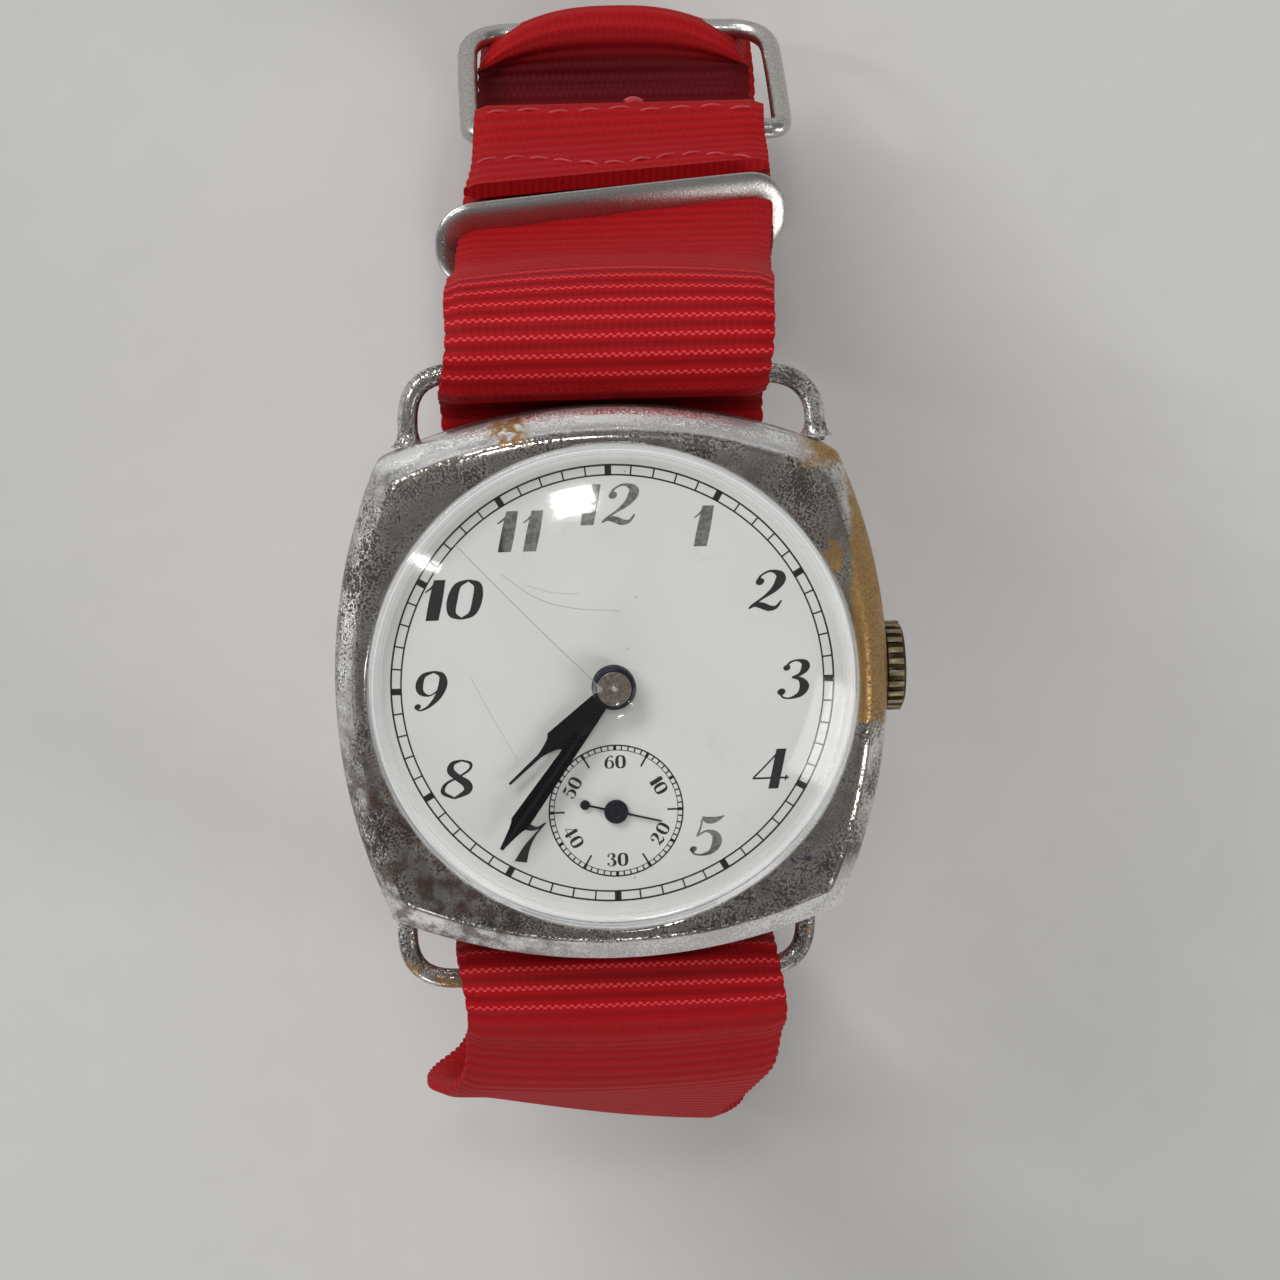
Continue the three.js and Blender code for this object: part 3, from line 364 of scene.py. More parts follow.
def worn_nickel(name, brass_share, land=False):
    """Old nickel plate: bright metal with dark pits and dull films, and brass where it has gone.

    The bezel's land is also filmed brown and tarnished, and its flanks by 6 and 12 are smoother.
    Both flanks are painted lighter: a painted reflection on the flank by 6, a painted highlight by 12.
    """
    r = Recipe(name)
    x, y, z = r.axes()
    cloud = r.noise(0.35, 4)
    grain = r.noise(7.0, 5, 0.8)
    fine = r.noise(16, 2, 0.6, offset=3)
    density = r.plus(r.times(cloud, 0.35), r.times(grain, 0.65))
    pits = r.step(density, 0.495, 0.53)
    dull = r.step(r.noise(0.8, 3, offset=7), 0.38, 0.68)
    colour = r.blend(dull, NICKEL, (0.50, 0.485, 0.46))
    if land:
        # Painted reflection: the flank by 6 is painted plain bright nickel so that it reads light.
        low_flank_painted_reflection = r.times(r.step(y, -9.0, -11.0), r.step(z, 50.78, 50.66))
        colour = r.blend(low_flank_painted_reflection, colour, NICKEL)
        # Painted highlight: the flank by 12, facing the key light, is painted near white.
        top_flank_painted_highlight = r.times(r.step(y, 11.5, 12.6), r.step(z, 50.85, 50.7))
        smoother = r.times(r.plus(low_flank_painted_reflection, top_flank_painted_highlight, clamp=True), 0.6)
        pits = r.times(pits, r.minus(1.0, smoother))
        colour = r.blend(top_flank_painted_highlight, colour, (0.86, 0.86, 0.85))
        flat = r.step(z, BEZEL_HIGH - 0.34, BEZEL_HIGH - 0.12)
        film = r.times(flat, r.step(grain, 0.40, 0.60, 0.35, 0.95))
        colour = r.blend(film, colour, (0.20, 0.165, 0.135))
        lower_left = r.times(r.step(x, 2.0, -9.0), r.step(y, 2.0, -6.0))
        tarnish = r.times(lower_left, r.step(r.noise(1.1, 4, offset=11), 0.42, 0.6))
        colour = r.blend(r.times(tarnish, 0.75), colour, (0.12, 0.055, 0.045))
        corner = r.times(r.window(x, 3.0, 12.5, 1.5), r.step(y, -7.0, -10.0))
        specks = r.step(r.noise(2.6, 5, 0.75, offset=5), 0.52, 0.60)
        blue = r.times(corner, specks, flat)
        colour = r.blend(r.times(blue, 0.85), colour, (0.035, 0.035, 0.11))
    colour = r.blend(r.times(pits, 0.9), colour, (0.055, 0.045, 0.038))
    bare = brass_share(r, x, y, z, cloud)
    worn_brass = r.blend(r.step(grain, 0.42, 0.66), BRASS, (0.25, 0.135, 0.05))
    colour = r.blend(bare, colour, worn_brass)
    rough = r.plus(r.step(density, 0.46, 0.56, 0.13, 0.45), r.times(bare, 0.22))
    metal = 0.93
    if land:
        # Where the flank by 6 carries its painted reflection it is also made rougher and less metallic.
        rough = r.plus(rough, r.times(low_flank_painted_reflection, 0.3), clamp=True)
        metal = r.minus(metal, r.times(low_flank_painted_reflection, 0.5))
    pitted = r.bump(r.times(pits, -1.0), 0.55, 0.05)
    normal = r.bump(fine, 0.08, 0.02, pitted)
    return r.set(colour=colour, metal=metal, rough=rough, normal=normal)


def bezel_brass(r, x, y, z, cloud):
    """Plate gone along the flank beside the crown, with spots by the crystal and near 11."""
    ragged = r.times(r.minus(r.noise(0.9, 4, offset=2), 0.5), 3.2)
    side = r.step(r.plus(x, r.times(ragged, 0.35)), 12.55, 13.1)
    span = r.window(r.plus(y, ragged), -2.3, 11.4, 0.35)
    flank = r.times(side, span)
    top_spot = r.times(r.window(x, -6.3, -4.3, 0.5), r.step(y, 13.0, 13.6))
    top_spot = r.times(top_spot, r.step(r.noise(1.6, 3, offset=9), 0.42, 0.55))
    rim = r.times(r.window(x, 10.9, 12.4, 0.3), r.window(y, 4.2, 8.0, 0.7))
    rim = r.times(rim, r.step(r.noise(1.2, 4, offset=14), 0.46, 0.56))
    corner = r.times(r.step(x, 9.6, 11.4), r.step(y, 11.2, 12.2))
    corner = r.times(corner, r.step(cloud, 0.40, 0.52))
    return r.plus(r.plus(flank, top_spot), r.plus(rim, corner), clamp=True)


def lug_brass(r, x, y, z, cloud):
    """Patches on the lug at 6 only."""
    patches = r.step(r.noise(0.55, 3, offset=4), 0.50, 0.62)
    return r.times(patches, 0.8, r.step(y, 0.0, -1.0))


def middle_brass(r, x, y, z, cloud):
    """Plate gone round the crown."""
    side = r.times(r.step(x, 12.6, 13.6), r.window(y, -4.0, 8.0, 1.2))
    return r.times(side, r.step(cloud, 0.40, 0.56))


def crown_metal():
    r = Recipe("tarnished_crown_brass")
    _, y, z = r.axes()
    ridge = r.step(r.radius(y, r.minus(z, STEM_LEVEL)), 2.34, 2.46)
    grain = r.noise(6, 4, 0.7)
    colour = r.blend(r.step(grain, 0.35, 0.65), (0.085, 0.065, 0.035), (0.04, 0.03, 0.018))
    colour = r.blend(r.times(ridge, 0.85), colour, (0.34, 0.29, 0.17))
    return r.set(colour=colour, metal=1.0, rough=r.step(grain, 0.3, 0.7, 0.32, 0.6),
                 normal=r.bump(grain, 0.3, 0.04))


def dial_paint():
    r = Recipe("dial_off_white_paint")
    cloud = r.noise(0.16, 3)
    grime = r.step(r.noise(0.9, 5, 0.7, offset=6), 0.56, 0.72)
    specks = r.step(r.cells(0.55), 0.045, 0.02)
    colour = r.blend(cloud, (0.70, 0.695, 0.675), (0.76, 0.755, 0.73))
    colour = r.blend(r.times(grime, 0.14), colour, (0.42, 0.40, 0.36))
    colour = r.blend(r.times(specks, 0.55), colour, (0.20, 0.17, 0.14))
    return r.set(colour=colour, rough=r.step(cloud, 0.3, 0.7, 0.42, 0.52),
                 normal=r.bump(r.noise(3.0, 3), 0.06, 0.02))


def dial_ink():
    r = Recipe("dial_black_ink")
    x, y, _ = r.axes()
    near_five = r.times(r.window(x, 4.2, 6.6, 0.2), r.window(y, -9.6, -7.0, 0.2))
    upper = r.times(r.step(y, 7.0, 7.3), r.window(x, -5.7, 6.4, 0.3))
    rubbed = r.step(r.noise(3.5, 4, 0.7), 0.40, 0.58, 0.45, 1.0)
    faded = r.times(r.plus(near_five, upper, clamp=True), rubbed)
    inner = r.math("LESS_THAN", r.squares(x, y), 125.0)
    worn = r.times(faded, inner)
    colour = r.blend(worn, (0.010, 0.010, 0.011), (0.20, 0.195, 0.19))
    return r.set(colour=colour, rough=r.step(worn, 0.0, 1.0, 0.38, 0.6))


def blued_steel():
    r = Recipe("blued_steel_near_black")
    grain = r.noise(7, 4)
    colour = r.blend(grain, (0.006, 0.007, 0.010), (0.016, 0.020, 0.036))
    return r.set(colour=colour, metal=0.75, rough=r.step(grain, 0.3, 0.7, 0.24, 0.42),
                 normal=r.bump(grain, 0.1, 0.02))


def hub_steel():
    r = Recipe("hub_worn_brown_steel")
    grain = r.noise(4.5, 5, 0.7)
    x, y, _ = r.axes()
    colour = r.blend(r.step(grain, 0.35, 0.65), (0.30, 0.255, 0.215), (0.14, 0.115, 0.095))
    colour = r.blend(r.step(r.radius(x, y), 0.18, 0.05), colour, (0.62, 0.58, 0.52))
    return r.set(colour=colour, metal=0.8, rough=0.42, normal=r.bump(grain, 0.35, 0.04))


def plain_metal(name, bright, dark, rough, stretch=(1, 1, 1), scale=3.0, depth=0.12):
    r = Recipe(name)
    grain = r.noise(scale, 4, 0.65, vector=r.stretched(stretch))
    colour = r.blend(r.step(grain, 0.3, 0.72), bright, dark)
    return r.set(colour=colour, metal=1.0, rough=r.step(grain, 0.3, 0.7, rough, rough + 0.16),
                 normal=r.bump(grain, depth, 0.03))


def woven_nylon(name):
    """Red webbing. The UV map is in millimetres: across the band, then along it."""
    r = Recipe(name)
    uv = r.node("ShaderNodeUVMap", uv_map="weave")
    across, along, _ = r.axes(uv.outputs["UV"])
    rib = r.times(along, math.tau / RIB_PITCH)
    ridge = r.plus(r.times(r.math("COSINE", rib), 0.5), 0.5)
    row = r.math("FLOOR", r.math("DIVIDE", along, RIB_PITCH))
    shift = r.times(row, math.pi)
    thread = r.plus(r.times(across, math.tau / 0.43), shift)
    dash = r.plus(r.times(r.math("COSINE", thread), 0.5), 0.5)
    cloth = r.node("ShaderNodeCombineXYZ")
    r.link(across, cloth.inputs[0])
    r.link(along, cloth.inputs[1])
    fibre = r.noise(2.2, 4, 0.7, vector=r.stretched((1.0, 7.0, 1.0), cloth.outputs[0]))
    cloud = r.noise(0.22, 3)
    colour = r.blend(cloud, (0.31, 0.003, 0.005), (0.38, 0.0042, 0.0065))
    # Painted highlight: two spans of the band, where it turns over by the case at 12 and at 6, in which
    # the rib crests are painted with bright dashes and the rib valleys painted darker.
    painted_highlight_zone = r.plus(r.window(along, *route.shine_12, 1.0),
                   r.window(along, *route.shine_6, 0.5), clamp=True)
    # Painted shade: the valleys between the ribs are painted darker, more so inside the painted highlight
    # spans.
    valley = r.times(r.step(ridge, 0.40, 0.04), r.step(painted_highlight_zone, 0.0, 1.0, 0.22, 0.55))
    colour = r.blend(valley, colour, (0.14, 0.002, 0.003))
    # Painted highlight: bright dashes along the rib crests, only inside the painted highlight spans.
    light = r.times(r.step(r.plus(dash, fibre), 0.75, 1.25), r.step(ridge, 0.80, 0.97))
    light = r.times(light, r.step(painted_highlight_zone, 0.0, 1.0, 0.05, 0.62))
    colour = r.blend(light, colour, (0.95, 0.09, 0.11))
    colour = r.blend(r.times(r.step(fibre, 0.42, 0.72), 0.3), colour, (0.20, 0.004, 0.008))
    # Painted shade: past the buckle's far bar the band is painted near black, as the pocket under the
    # fold lies in shade.
    pocket_shade = r.window(along, route.far_bar + 2.4, route.far_bar + 16.0, 1.5)
    colour = r.blend(r.times(pocket_shade, 0.85), colour, (0.05, 0.002, 0.004))
    height = r.plus(r.times(ridge, 0.6),
                    r.plus(r.times(dash, 0.28), r.times(fibre, 0.22)))
    return r.set(colour=colour, rough=r.step(fibre, 0.2, 0.8, 0.48, 0.7), specular=0.1,
                 normal=r.bump(height, 0.5, 0.1))


def red_thread():
    r = Recipe("red_sewing_thread")
    twist = r.noise(4.0, 3, vector=r.stretched((1, 4, 1)))
    colour = r.blend(twist, (0.36, 0.012, 0.022), (0.52, 0.04, 0.06))
    return r.set(colour=colour, rough=0.6, sheen=0.1, normal=r.bump(twist, 0.5, 0.05))


def clear_crystal():
    """Clear lens: lets light straight through and adds its own gloss, with faint wear in the gloss."""
    r = Recipe("clear_crystal_acrylic")
    glass = r.node("ShaderNodeBsdfTransparent")
    glass.inputs["Color"].default_value = (0.985, 0.99, 0.985, 1)
    gloss = r.node("ShaderNodeBsdfGlossy")
    wear = r.noise(1.2, 4, vector=r.stretched((1.0, 5.0, 1.0)))
    r.link(r.step(wear, 0.4, 0.75, 0.045, 0.14), gloss.inputs["Roughness"])
    turned_away = r.node("ShaderNodeLayerWeight").outputs["Facing"]
    share = r.times(r.math("POWER", turned_away, 5.0), 0.9)
    mixed = r.node("ShaderNodeMixShader")
    r.link(r.plus(share, 0.035), mixed.inputs[0])
    r.link(glass.outputs[0], mixed.inputs[1])
    r.link(gloss.outputs[0], mixed.inputs[2])
    # Painted light at the thick edge: a milky white ring with a brighter line in it, painted in for the
    # light the edge gathers and to lift the shade at the dial's margin.
    x, y, _ = r.axes()
    radius = r.radius(x, y)
    ring = r.times(r.step(radius, 12.35, 12.75), 0.22)
    line = r.times(r.window(radius, 12.92, 13.0, 0.03), 0.35)
    painted_edge_light = r.node("ShaderNodeBsdfDiffuse")
    painted_edge_light.inputs["Color"].default_value = (0.86, 0.87, 0.88, 1)
    edged = r.node("ShaderNodeMixShader")
    r.link(r.plus(ring, line, clamp=True), edged.inputs[0])
    r.link(mixed.outputs[0], edged.inputs[1])
    r.link(painted_edge_light.outputs[0], edged.inputs[2])
    r.link(edged.outputs[0], r.output.inputs["Surface"])
    r.tree.nodes.remove(r.shader)
    return r.material


def scratch_film():
    r = Recipe("crystal_scratch")
    grain = r.noise(3.0, 3)
    return r.set(colour=r.blend(grain, (0.26, 0.25, 0.24), (0.42, 0.41, 0.40)), rough=0.5)


def pale_floor():
    r = Recipe("pale_floor")
    weave = r.noise(0.25, 3)
    return r.set(colour=r.blend(weave, (0.56, 0.56, 0.545), (0.60, 0.60, 0.585)), rough=0.85)


# ------------------------------------------------------------------ case

def make_bezel(material):
    """Cushion bezel: a narrow lip, a sloping land and a flank, pushed out a little by 6 o'clock."""
    rings = [(OPENING, BEZEL_LOW), (OPENING, 50.84), (13.33, 50.95), (13.40, 50.99), (13.50, 51.0),
             (13.70, 50.96), (13.86, 50.90), (13.98, 50.80), (14.16, 50.60), (14.38, 50.33),
             (14.60, 50.03), (14.80, 49.70), (14.93, 49.35), (15.00, 49.00), (15.00, 48.70),
             (14.95, 48.50), (14.85, BEZEL_LOW), (OPENING, BEZEL_LOW)]
    obj = cushioned(turned(rings, 400), 13.33, 13.62)
    for level, shift in ((50.4, -0.15), (49.8, -0.2)):
        open_mesh(obj)
        pick_verts(obj, lambda place: place.z < level and place.y < -12.2)
        bpy.ops.transform.translate(value=(0, shift, 0))
        bpy.ops.object.mode_set(mode="OBJECT")
    finish_piece(obj, "bezel_worn", material, "case", ["bezel"], angle=50)


def make_case_middle(material):
    rings = [(12.0, 45.2), (14.6, 45.2), (14.76, 45.26), (14.86, 45.45), (14.9, 45.9), (14.9, 46.8),
             (14.9, 47.7), (14.88, 48.02), (14.82, 48.2), (14.7, 48.31), (14.5, 48.34), (12.0, 48.34),
             (12.0, 45.2)]
    obj = cushioned(turned(rings, 320), 12.2, 14.0)
    finish_piece(obj, "case_band", material, "case", ["case_middle"], angle=50)


def make_case_back(material):
    rings = [(0, 43.2), (11.2, 43.2), (12.2, 43.26), (13.0, 43.42), (13.6, 43.75), (14.0, 44.2),
             (14.3, 44.75), (14.38, 45.0), (14.3, 45.14), (14.1, 45.17), (12.8, 45.17), (12.4, 44.1),
             (0, 44.1)]
    obj = cushioned(turned(rings, 192), 11.3, 12.4)
    open_mesh(obj, "FACE")

    def on_cover(face):
        middle = face.calc_center_median()
        return face.normal.z < -0.99 and middle.z < 43.3 and math.hypot(middle.x, middle.y) < 11.2

    pick_faces(obj, on_cover)
    bpy.ops.mesh.inset(thickness=0.35, depth=0.0)
    bpy.ops.mesh.inset(thickness=0.12, depth=-0.08)
    bpy.ops.object.mode_set(mode="OBJECT")
    finish_piece(obj, "case_back_cover", material, "case", ["case_back"], angle=50)


def dome(radius, share, low, high):
    """A place on a dome's profile, from its foot at share 0 to its top at share 1."""
    inward = math.cos(share * math.pi / 2)
    return radius * inward, low + (high - low) * (1 - inward ** 3)


def make_crystal(material):
    """Domed lens: an outer and an inner skin that meet round the foot."""
    steps = 20
    shares = [i / steps for i in range(1, steps)]
    outer = [(12.65, 49.75), (13.15, 49.75), (13.27, 49.87), (13.27, 50.85)]
    outer += [dome(DOME_RADIUS, share, DOME_LOW, DOME_HIGH) for share in shares] + [(0, DOME_HIGH)]
    inner = [(0, 52.0)] + [dome(12.65, share, 50.35, 52.0) for share in reversed(shares)]
    inner += [(12.65, 49.75)]
    obj = joined([turned(outer, 160), turned(inner, 160)])
    open_mesh(obj)
    close_mesh(1e-3)
    finish_piece(obj, "crystal_dome", material, "case", ["crystal"], angle=60)
    obj.visible_shadow = False


def on_crystal(x, y):
    """A point just above the crystal's outer dome."""
    rise = 1.65 * (1 - (math.hypot(x, y) / DOME_RADIUS) ** 3)
    return Vector((x, y, DOME_LOW + rise + 0.01))


def make_scratches(material):
    """Hairlines on the crystal: one long straight one and a few faint arcs."""
    lines = [[(-8.3, 8.2), (-6.4, 6.2), (-4.2, 3.9), (-2.1, 1.75), (-0.7, 0.3)],
             [(-5.9, 6.6), (-4.0, 5.3), (-2.2, 4.75), (0.3, 4.55)],
             [(-4.6, 6.0), (-3.2, 5.6), (-1.8, 5.5)],
             [(-7.7, 1.2), (-6.6, -1.0), (-5.3, -3.4)]]
    widths = [0.022, 0.016, 0.012, 0.010]
    pieces = [wire([on_crystal(x, y) for x, y in line], width, bevel=1)
              for line, width in zip(lines, widths)]
    finish_piece(joined(pieces), "crystal_hairlines", material, "case", angle=60)


def bent_curve(points, closed, resolution):
    """A smooth curve through the points, still without a section."""
    deselect()
    bpy.ops.curve.primitive_bezier_curve_add(location=(0, 0, 0))
    curve = bpy.context.object.data
    curve.dimensions = "3D"
    curve.splines.clear()
    spline = curve.splines.new("BEZIER")
    spline.bezier_points.add(len(points) - 1)
    for knot, place in zip(spline.bezier_points, points):
        knot.co = place
        knot.handle_left_type = knot.handle_right_type = "AUTO"
    spline.use_cyclic_u = closed
    curve.resolution_u = resolution
    return curve


def wire(points, radius, bevel, closed=False, resolution=6):
    """A round wire along points, made as a curve and turned into a mesh."""
    curve = bent_curve(points, closed, resolution)
    curve.bevel_depth = radius
    curve.bevel_resolution = bevel
    curve.use_fill_caps = not closed
    bpy.ops.object.convert(target="MESH")
    return bpy.context.object


def corner_points(before, corner, after, radius, count=6):
    """Points round one corner, tangent to both sides."""
    start = corner + (before - corner).normalized() * radius
    end = corner + (after - corner).normalized() * radius
    shares = [i / count for i in range(count + 1)]
    return [start.lerp(corner, t).lerp(corner.lerp(end, t), t) for t in shares]


def make_lug(side, name, material):
    """Wire lug: legs sprung outward a little, bends round to a crossbar, with solder at each foot."""
    foot, leg = 12.6, 11.1
    bar, shift = (16.78, 0.45) if side > 0 else (17.0, -0.5)
    sprung = 0.6 if side > 0 else 0.0

    def at(x, y):
        return Vector((x + shift, side * y, LUG_LEVEL))

    left = corner_points(at(-leg, foot), at(-leg, bar), at(0, bar), 2.6)
    right = corner_points(at(2, bar), at(leg, bar - sprung), at(leg, foot), 2.6)
    points = [at(-leg, foot), at(-leg, 13.6)] + left + [at(-4, bar), at(4, bar)] + right
    points += [at(leg, 13.6), at(leg, foot)]
    ring = wire(points, LUG_WIRE, bevel=5)
    blobs = []
    for x in (-leg, leg):
        blob = turned([(0.98, 0.0), (0.80, 0.12), (0.66, 0.34), (0.58, 0.7)], 24)
        turn = Matrix.Rotation(-side * math.pi / 2, 4, "X")
        blobs.append(moved(blob, Matrix.Translation(at(x, 12.86)) @ turn))
    obj = joined([ring] + blobs)
    finish_piece(obj, name + "_wire", material, "case", [name], angle=60)


def make_crown(material):
    """Coin-edged crown: ridges left between grooves pressed in round the edge, with a domed end."""
    rings = [(0, 0.0), (1.9, 0.0), (2.15, 0.03), (2.3, 0.14), (2.3, 0.98), (2.22, 1.08), (2.05, 1.15),
             (1.9, 1.16), (1.4, 1.24), (0.9, 1.29), (0.4, 1.315), (0, 1.32)]
    obj = turned(rings, 96)
    open_mesh(obj, "FACE")
    count = 24

    def on_ridge(face):
        middle = face.calc_center_median()
        turn = math.atan2(middle.y, middle.x) / math.tau * count
        side_wall = abs(face.normal.z) < 0.5 and math.hypot(middle.x, middle.y) > 2.1
        return side_wall and abs(turn - round(turn)) < 0.26

    pick_faces(obj, on_ridge)
    bpy.ops.mesh.extrude_region_shrink_fatten(TRANSFORM_OT_shrink_fatten={"value": 0.17})
    bpy.ops.object.mode_set(mode="OBJECT")
    bevelled(obj, 0.03, 40)
    turn = Matrix.Translation((14.98, 0, STEM_LEVEL)) @ Matrix.Rotation(math.pi / 2, 4, "Y")
    finish_piece(moved(obj, turn), "crown_knob", material, "crown", ["crown"], angle=40)


# ------------------------------------------------------------------ dial

def flat_band(inner, outer, low, high, around=180):
    return turned([(inner, low), (outer, low), (outer, high), (inner, high), (inner, low)], around)


def make_dial(material):
    obj = turned([(0.95, 49.2), (DIAL_RADIUS - 0.05, 49.2), (DIAL_RADIUS, 49.25), (DIAL_RADIUS, 49.55),
                  (DIAL_RADIUS - 0.05, DIAL_TOP), (8.0, DIAL_TOP), (4.0, DIAL_TOP), (1.0, DIAL_TOP),
                  (0.95, 49.56), (0.95, 49.2)], 160)
    finish_piece(obj, "dial_plate", material, "case", ["dial"], angle=30)


INK = 0.008


def ticks(count, inner, outer, width, keep=None):
    """Radial marks: one is drawn and spun round the dial, and those not kept are rubbed out."""
    deselect()
    bpy.ops.mesh.primitive_cube_add(size=1, location=(0, 0, 0))
    obj = bpy.context.object
    open_mesh(obj)
    bpy.ops.mesh.select_all(action="SELECT")
    bpy.ops.transform.resize(value=(width, outer - inner, INK), center_override=(0, 0, 0))
    bpy.ops.transform.translate(value=(0, (inner + outer) / 2, DIAL_TOP + INK / 2))
    bpy.ops.mesh.spin(steps=count, dupli=True, angle=math.tau, center=(0, 0, 0), axis=(0, 0, 1))
    close_mesh()
    if keep is not None:
        open_mesh(obj)

        def dropped(co):
            turn = -math.degrees(math.atan2(co.x, co.y)) % 360
            return not keep(round(turn / (360 / count)) % count)

        pick_verts(obj, dropped)
        bpy.ops.mesh.delete(type="VERT")
        bpy.ops.object.mode_set(mode="OBJECT")
    return obj


def make_tracks(ink):
    """Railway tracks: two rings with a mark at each minute, and a small one for the seconds."""
    low, high = DIAL_TOP, DIAL_TOP + INK
    marks = [flat_band(11.93, 12.03, low, high), flat_band(11.40, 11.49, low, high),
             ticks(60, 11.45, 11.98, 0.085), ticks(12, 11.42, 12.0, 0.36)]
    finish_piece(joined(marks), "minute_track", ink, "case", angle=30)
    small = [flat_band(3.60, 3.68, low, high, 96), flat_band(3.36, 3.40, low, high, 96),
             ticks(60, 3.38, 3.62, 0.075), ticks(12, 3.36, 3.64, 0.17),
             ticks(12, 2.80, 3.40, 0.10, keep=lambda i: i % 2 == 1)]
    to_small_dial = Matrix.Translation((0, SECONDS_Y, 0))
    small = joined([moved(mark, to_small_dial) for mark in small])
    finish_piece(small, "seconds_track", ink, "case", angle=30)


# Numerals as pen strokes in a box one unit high: points are (x, y, pen width).
BALL = "ball"
GLYPHS = {
    "1": (0.44, [[(0.04, 0.70, 0.03), (0.14, 0.80, 0.05), (0.26, 0.97, 0.08)],
                 [(0.29, 0.0, 0.27), (0.29, 0.5, 0.28), (0.29, 1.0, 0.24)]]),
    "2": (0.78, [[(0.14, 0.70, 0.10), (0.15, 0.84, 0.05), (0.27, 0.95, 0.05), (0.40, 0.97, 0.07),
                  (0.56, 0.88, 0.17), (0.59, 0.72, 0.22), (0.50, 0.52, 0.15), (0.32, 0.33, 0.07),
                  (0.14, 0.17, 0.05), (0.05, 0.06, 0.04)],
                 [(0.05, 0.05, 0.03), (0.16, 0.15, 0.11), (0.32, 0.12, 0.15), (0.48, 0.05, 0.14),
                  (0.62, 0.08, 0.08), (0.70, 0.24, 0.03)], (BALL, 0.17, 0.72, 0.09)]),
    "3": (0.72, [[(0.12, 0.78, 0.05), (0.20, 0.92, 0.05), (0.34, 0.97, 0.05), (0.50, 0.91, 0.14),
                  (0.54, 0.77, 0.18), (0.46, 0.62, 0.09), (0.30, 0.545, 0.04)],
                 [(0.30, 0.545, 0.04), (0.48, 0.50, 0.10), (0.60, 0.32, 0.20), (0.55, 0.13, 0.15),
                  (0.36, 0.03, 0.05), (0.20, 0.05, 0.04), (0.11, 0.18, 0.05)],
                 (BALL, 0.15, 0.79, 0.075), (BALL, 0.14, 0.19, 0.085)]),
    "4": (0.80, [[(0.52, 0.0, 0.21), (0.52, 0.5, 0.21), (0.52, 1.0, 0.21)],
                 [(0.50, 0.98, 0.04), (0.28, 0.62, 0.04), (0.05, 0.28, 0.04)],
                 [(0.04, 0.27, 0.045), (0.40, 0.27, 0.045), (0.80, 0.27, 0.045)],
                 [(0.74, 0.20, 0.03), (0.74, 0.27, 0.04), (0.74, 0.34, 0.03)]]),
    "5": (0.70, [[(0.18, 0.93, 0.04), (0.18, 0.70, 0.04), (0.14, 0.50, 0.04)],
                 [(0.17, 0.99, 0.02), (0.30, 0.90, 0.16), (0.46, 0.90, 0.15), (0.64, 1.0, 0.02)],
                 [(0.14, 0.50, 0.04), (0.32, 0.62, 0.06), (0.52, 0.53, 0.15), (0.59, 0.32, 0.21),
                  (0.52, 0.11, 0.14), (0.32, 0.02, 0.05), (0.15, 0.06, 0.04), (0.08, 0.18, 0.04)],
                 (BALL, 0.12, 0.17, 0.075)]),
    "7": (0.74, [[(0.04, 0.70, 0.03), (0.08, 0.88, 0.07), (0.22, 0.94, 0.14), (0.38, 0.86, 0.15),
                  (0.54, 0.84, 0.08), (0.70, 0.97, 0.03)],
                 [(0.70, 0.97, 0.03), (0.52, 0.66, 0.06), (0.40, 0.36, 0.15), (0.33, 0.0, 0.27)]]),
    "8": (0.72, [[(0.36, 0.975, 0.05), (0.18, 0.90, 0.11), (0.17, 0.72, 0.15), (0.34, 0.55, 0.15),
                  (0.56, 0.38, 0.18), (0.60, 0.20, 0.17), (0.36, 0.025, 0.05)],
                 [(0.36, 0.975, 0.05), (0.55, 0.90, 0.06), (0.56, 0.74, 0.06), (0.36, 0.56, 0.05),
                  (0.13, 0.40, 0.07), (0.10, 0.18, 0.09), (0.36, 0.025, 0.05)]]),
    "9": (0.70, [[(0.34, 0.975, 0.05), (0.14, 0.88, 0.12), (0.09, 0.66, 0.16), (0.16, 0.46, 0.12),
                  (0.34, 0.38, 0.04), (0.48, 0.48, 0.04)],
                 [(0.34, 0.975, 0.05), (0.52, 0.88, 0.12), (0.58, 0.64, 0.19), (0.52, 0.34, 0.15),
                  (0.36, 0.10, 0.07), (0.20, 0.02, 0.04), (0.10, 0.08, 0.04)],
                 (BALL, 0.14, 0.11, 0.07)]),
    "0": (0.72, [[(0.35, 0.975, 0.05), (0.14, 0.84, 0.16), (0.09, 0.50, 0.22), (0.14, 0.16, 0.16),
                  (0.35, 0.025, 0.05)],
                 [(0.35, 0.975, 0.05), (0.56, 0.84, 0.16), (0.61, 0.50, 0.21), (0.56, 0.16, 0.16),
                  (0.35, 0.025, 0.05)]]),
}


def turned_over(stroke, across):
    """A stroke turned half round in its box: a 6 is a 9 turned over."""
    if stroke[0] == BALL:
        _, x, y, radius = stroke
        return (BALL, across - x, 1 - y, radius)
    return [(across - x, 1 - y, pen) for x, y, pen in stroke]


GLYPHS["6"] = (0.70, [turned_over(stroke, 0.70) for stroke in GLYPHS["9"][1]])


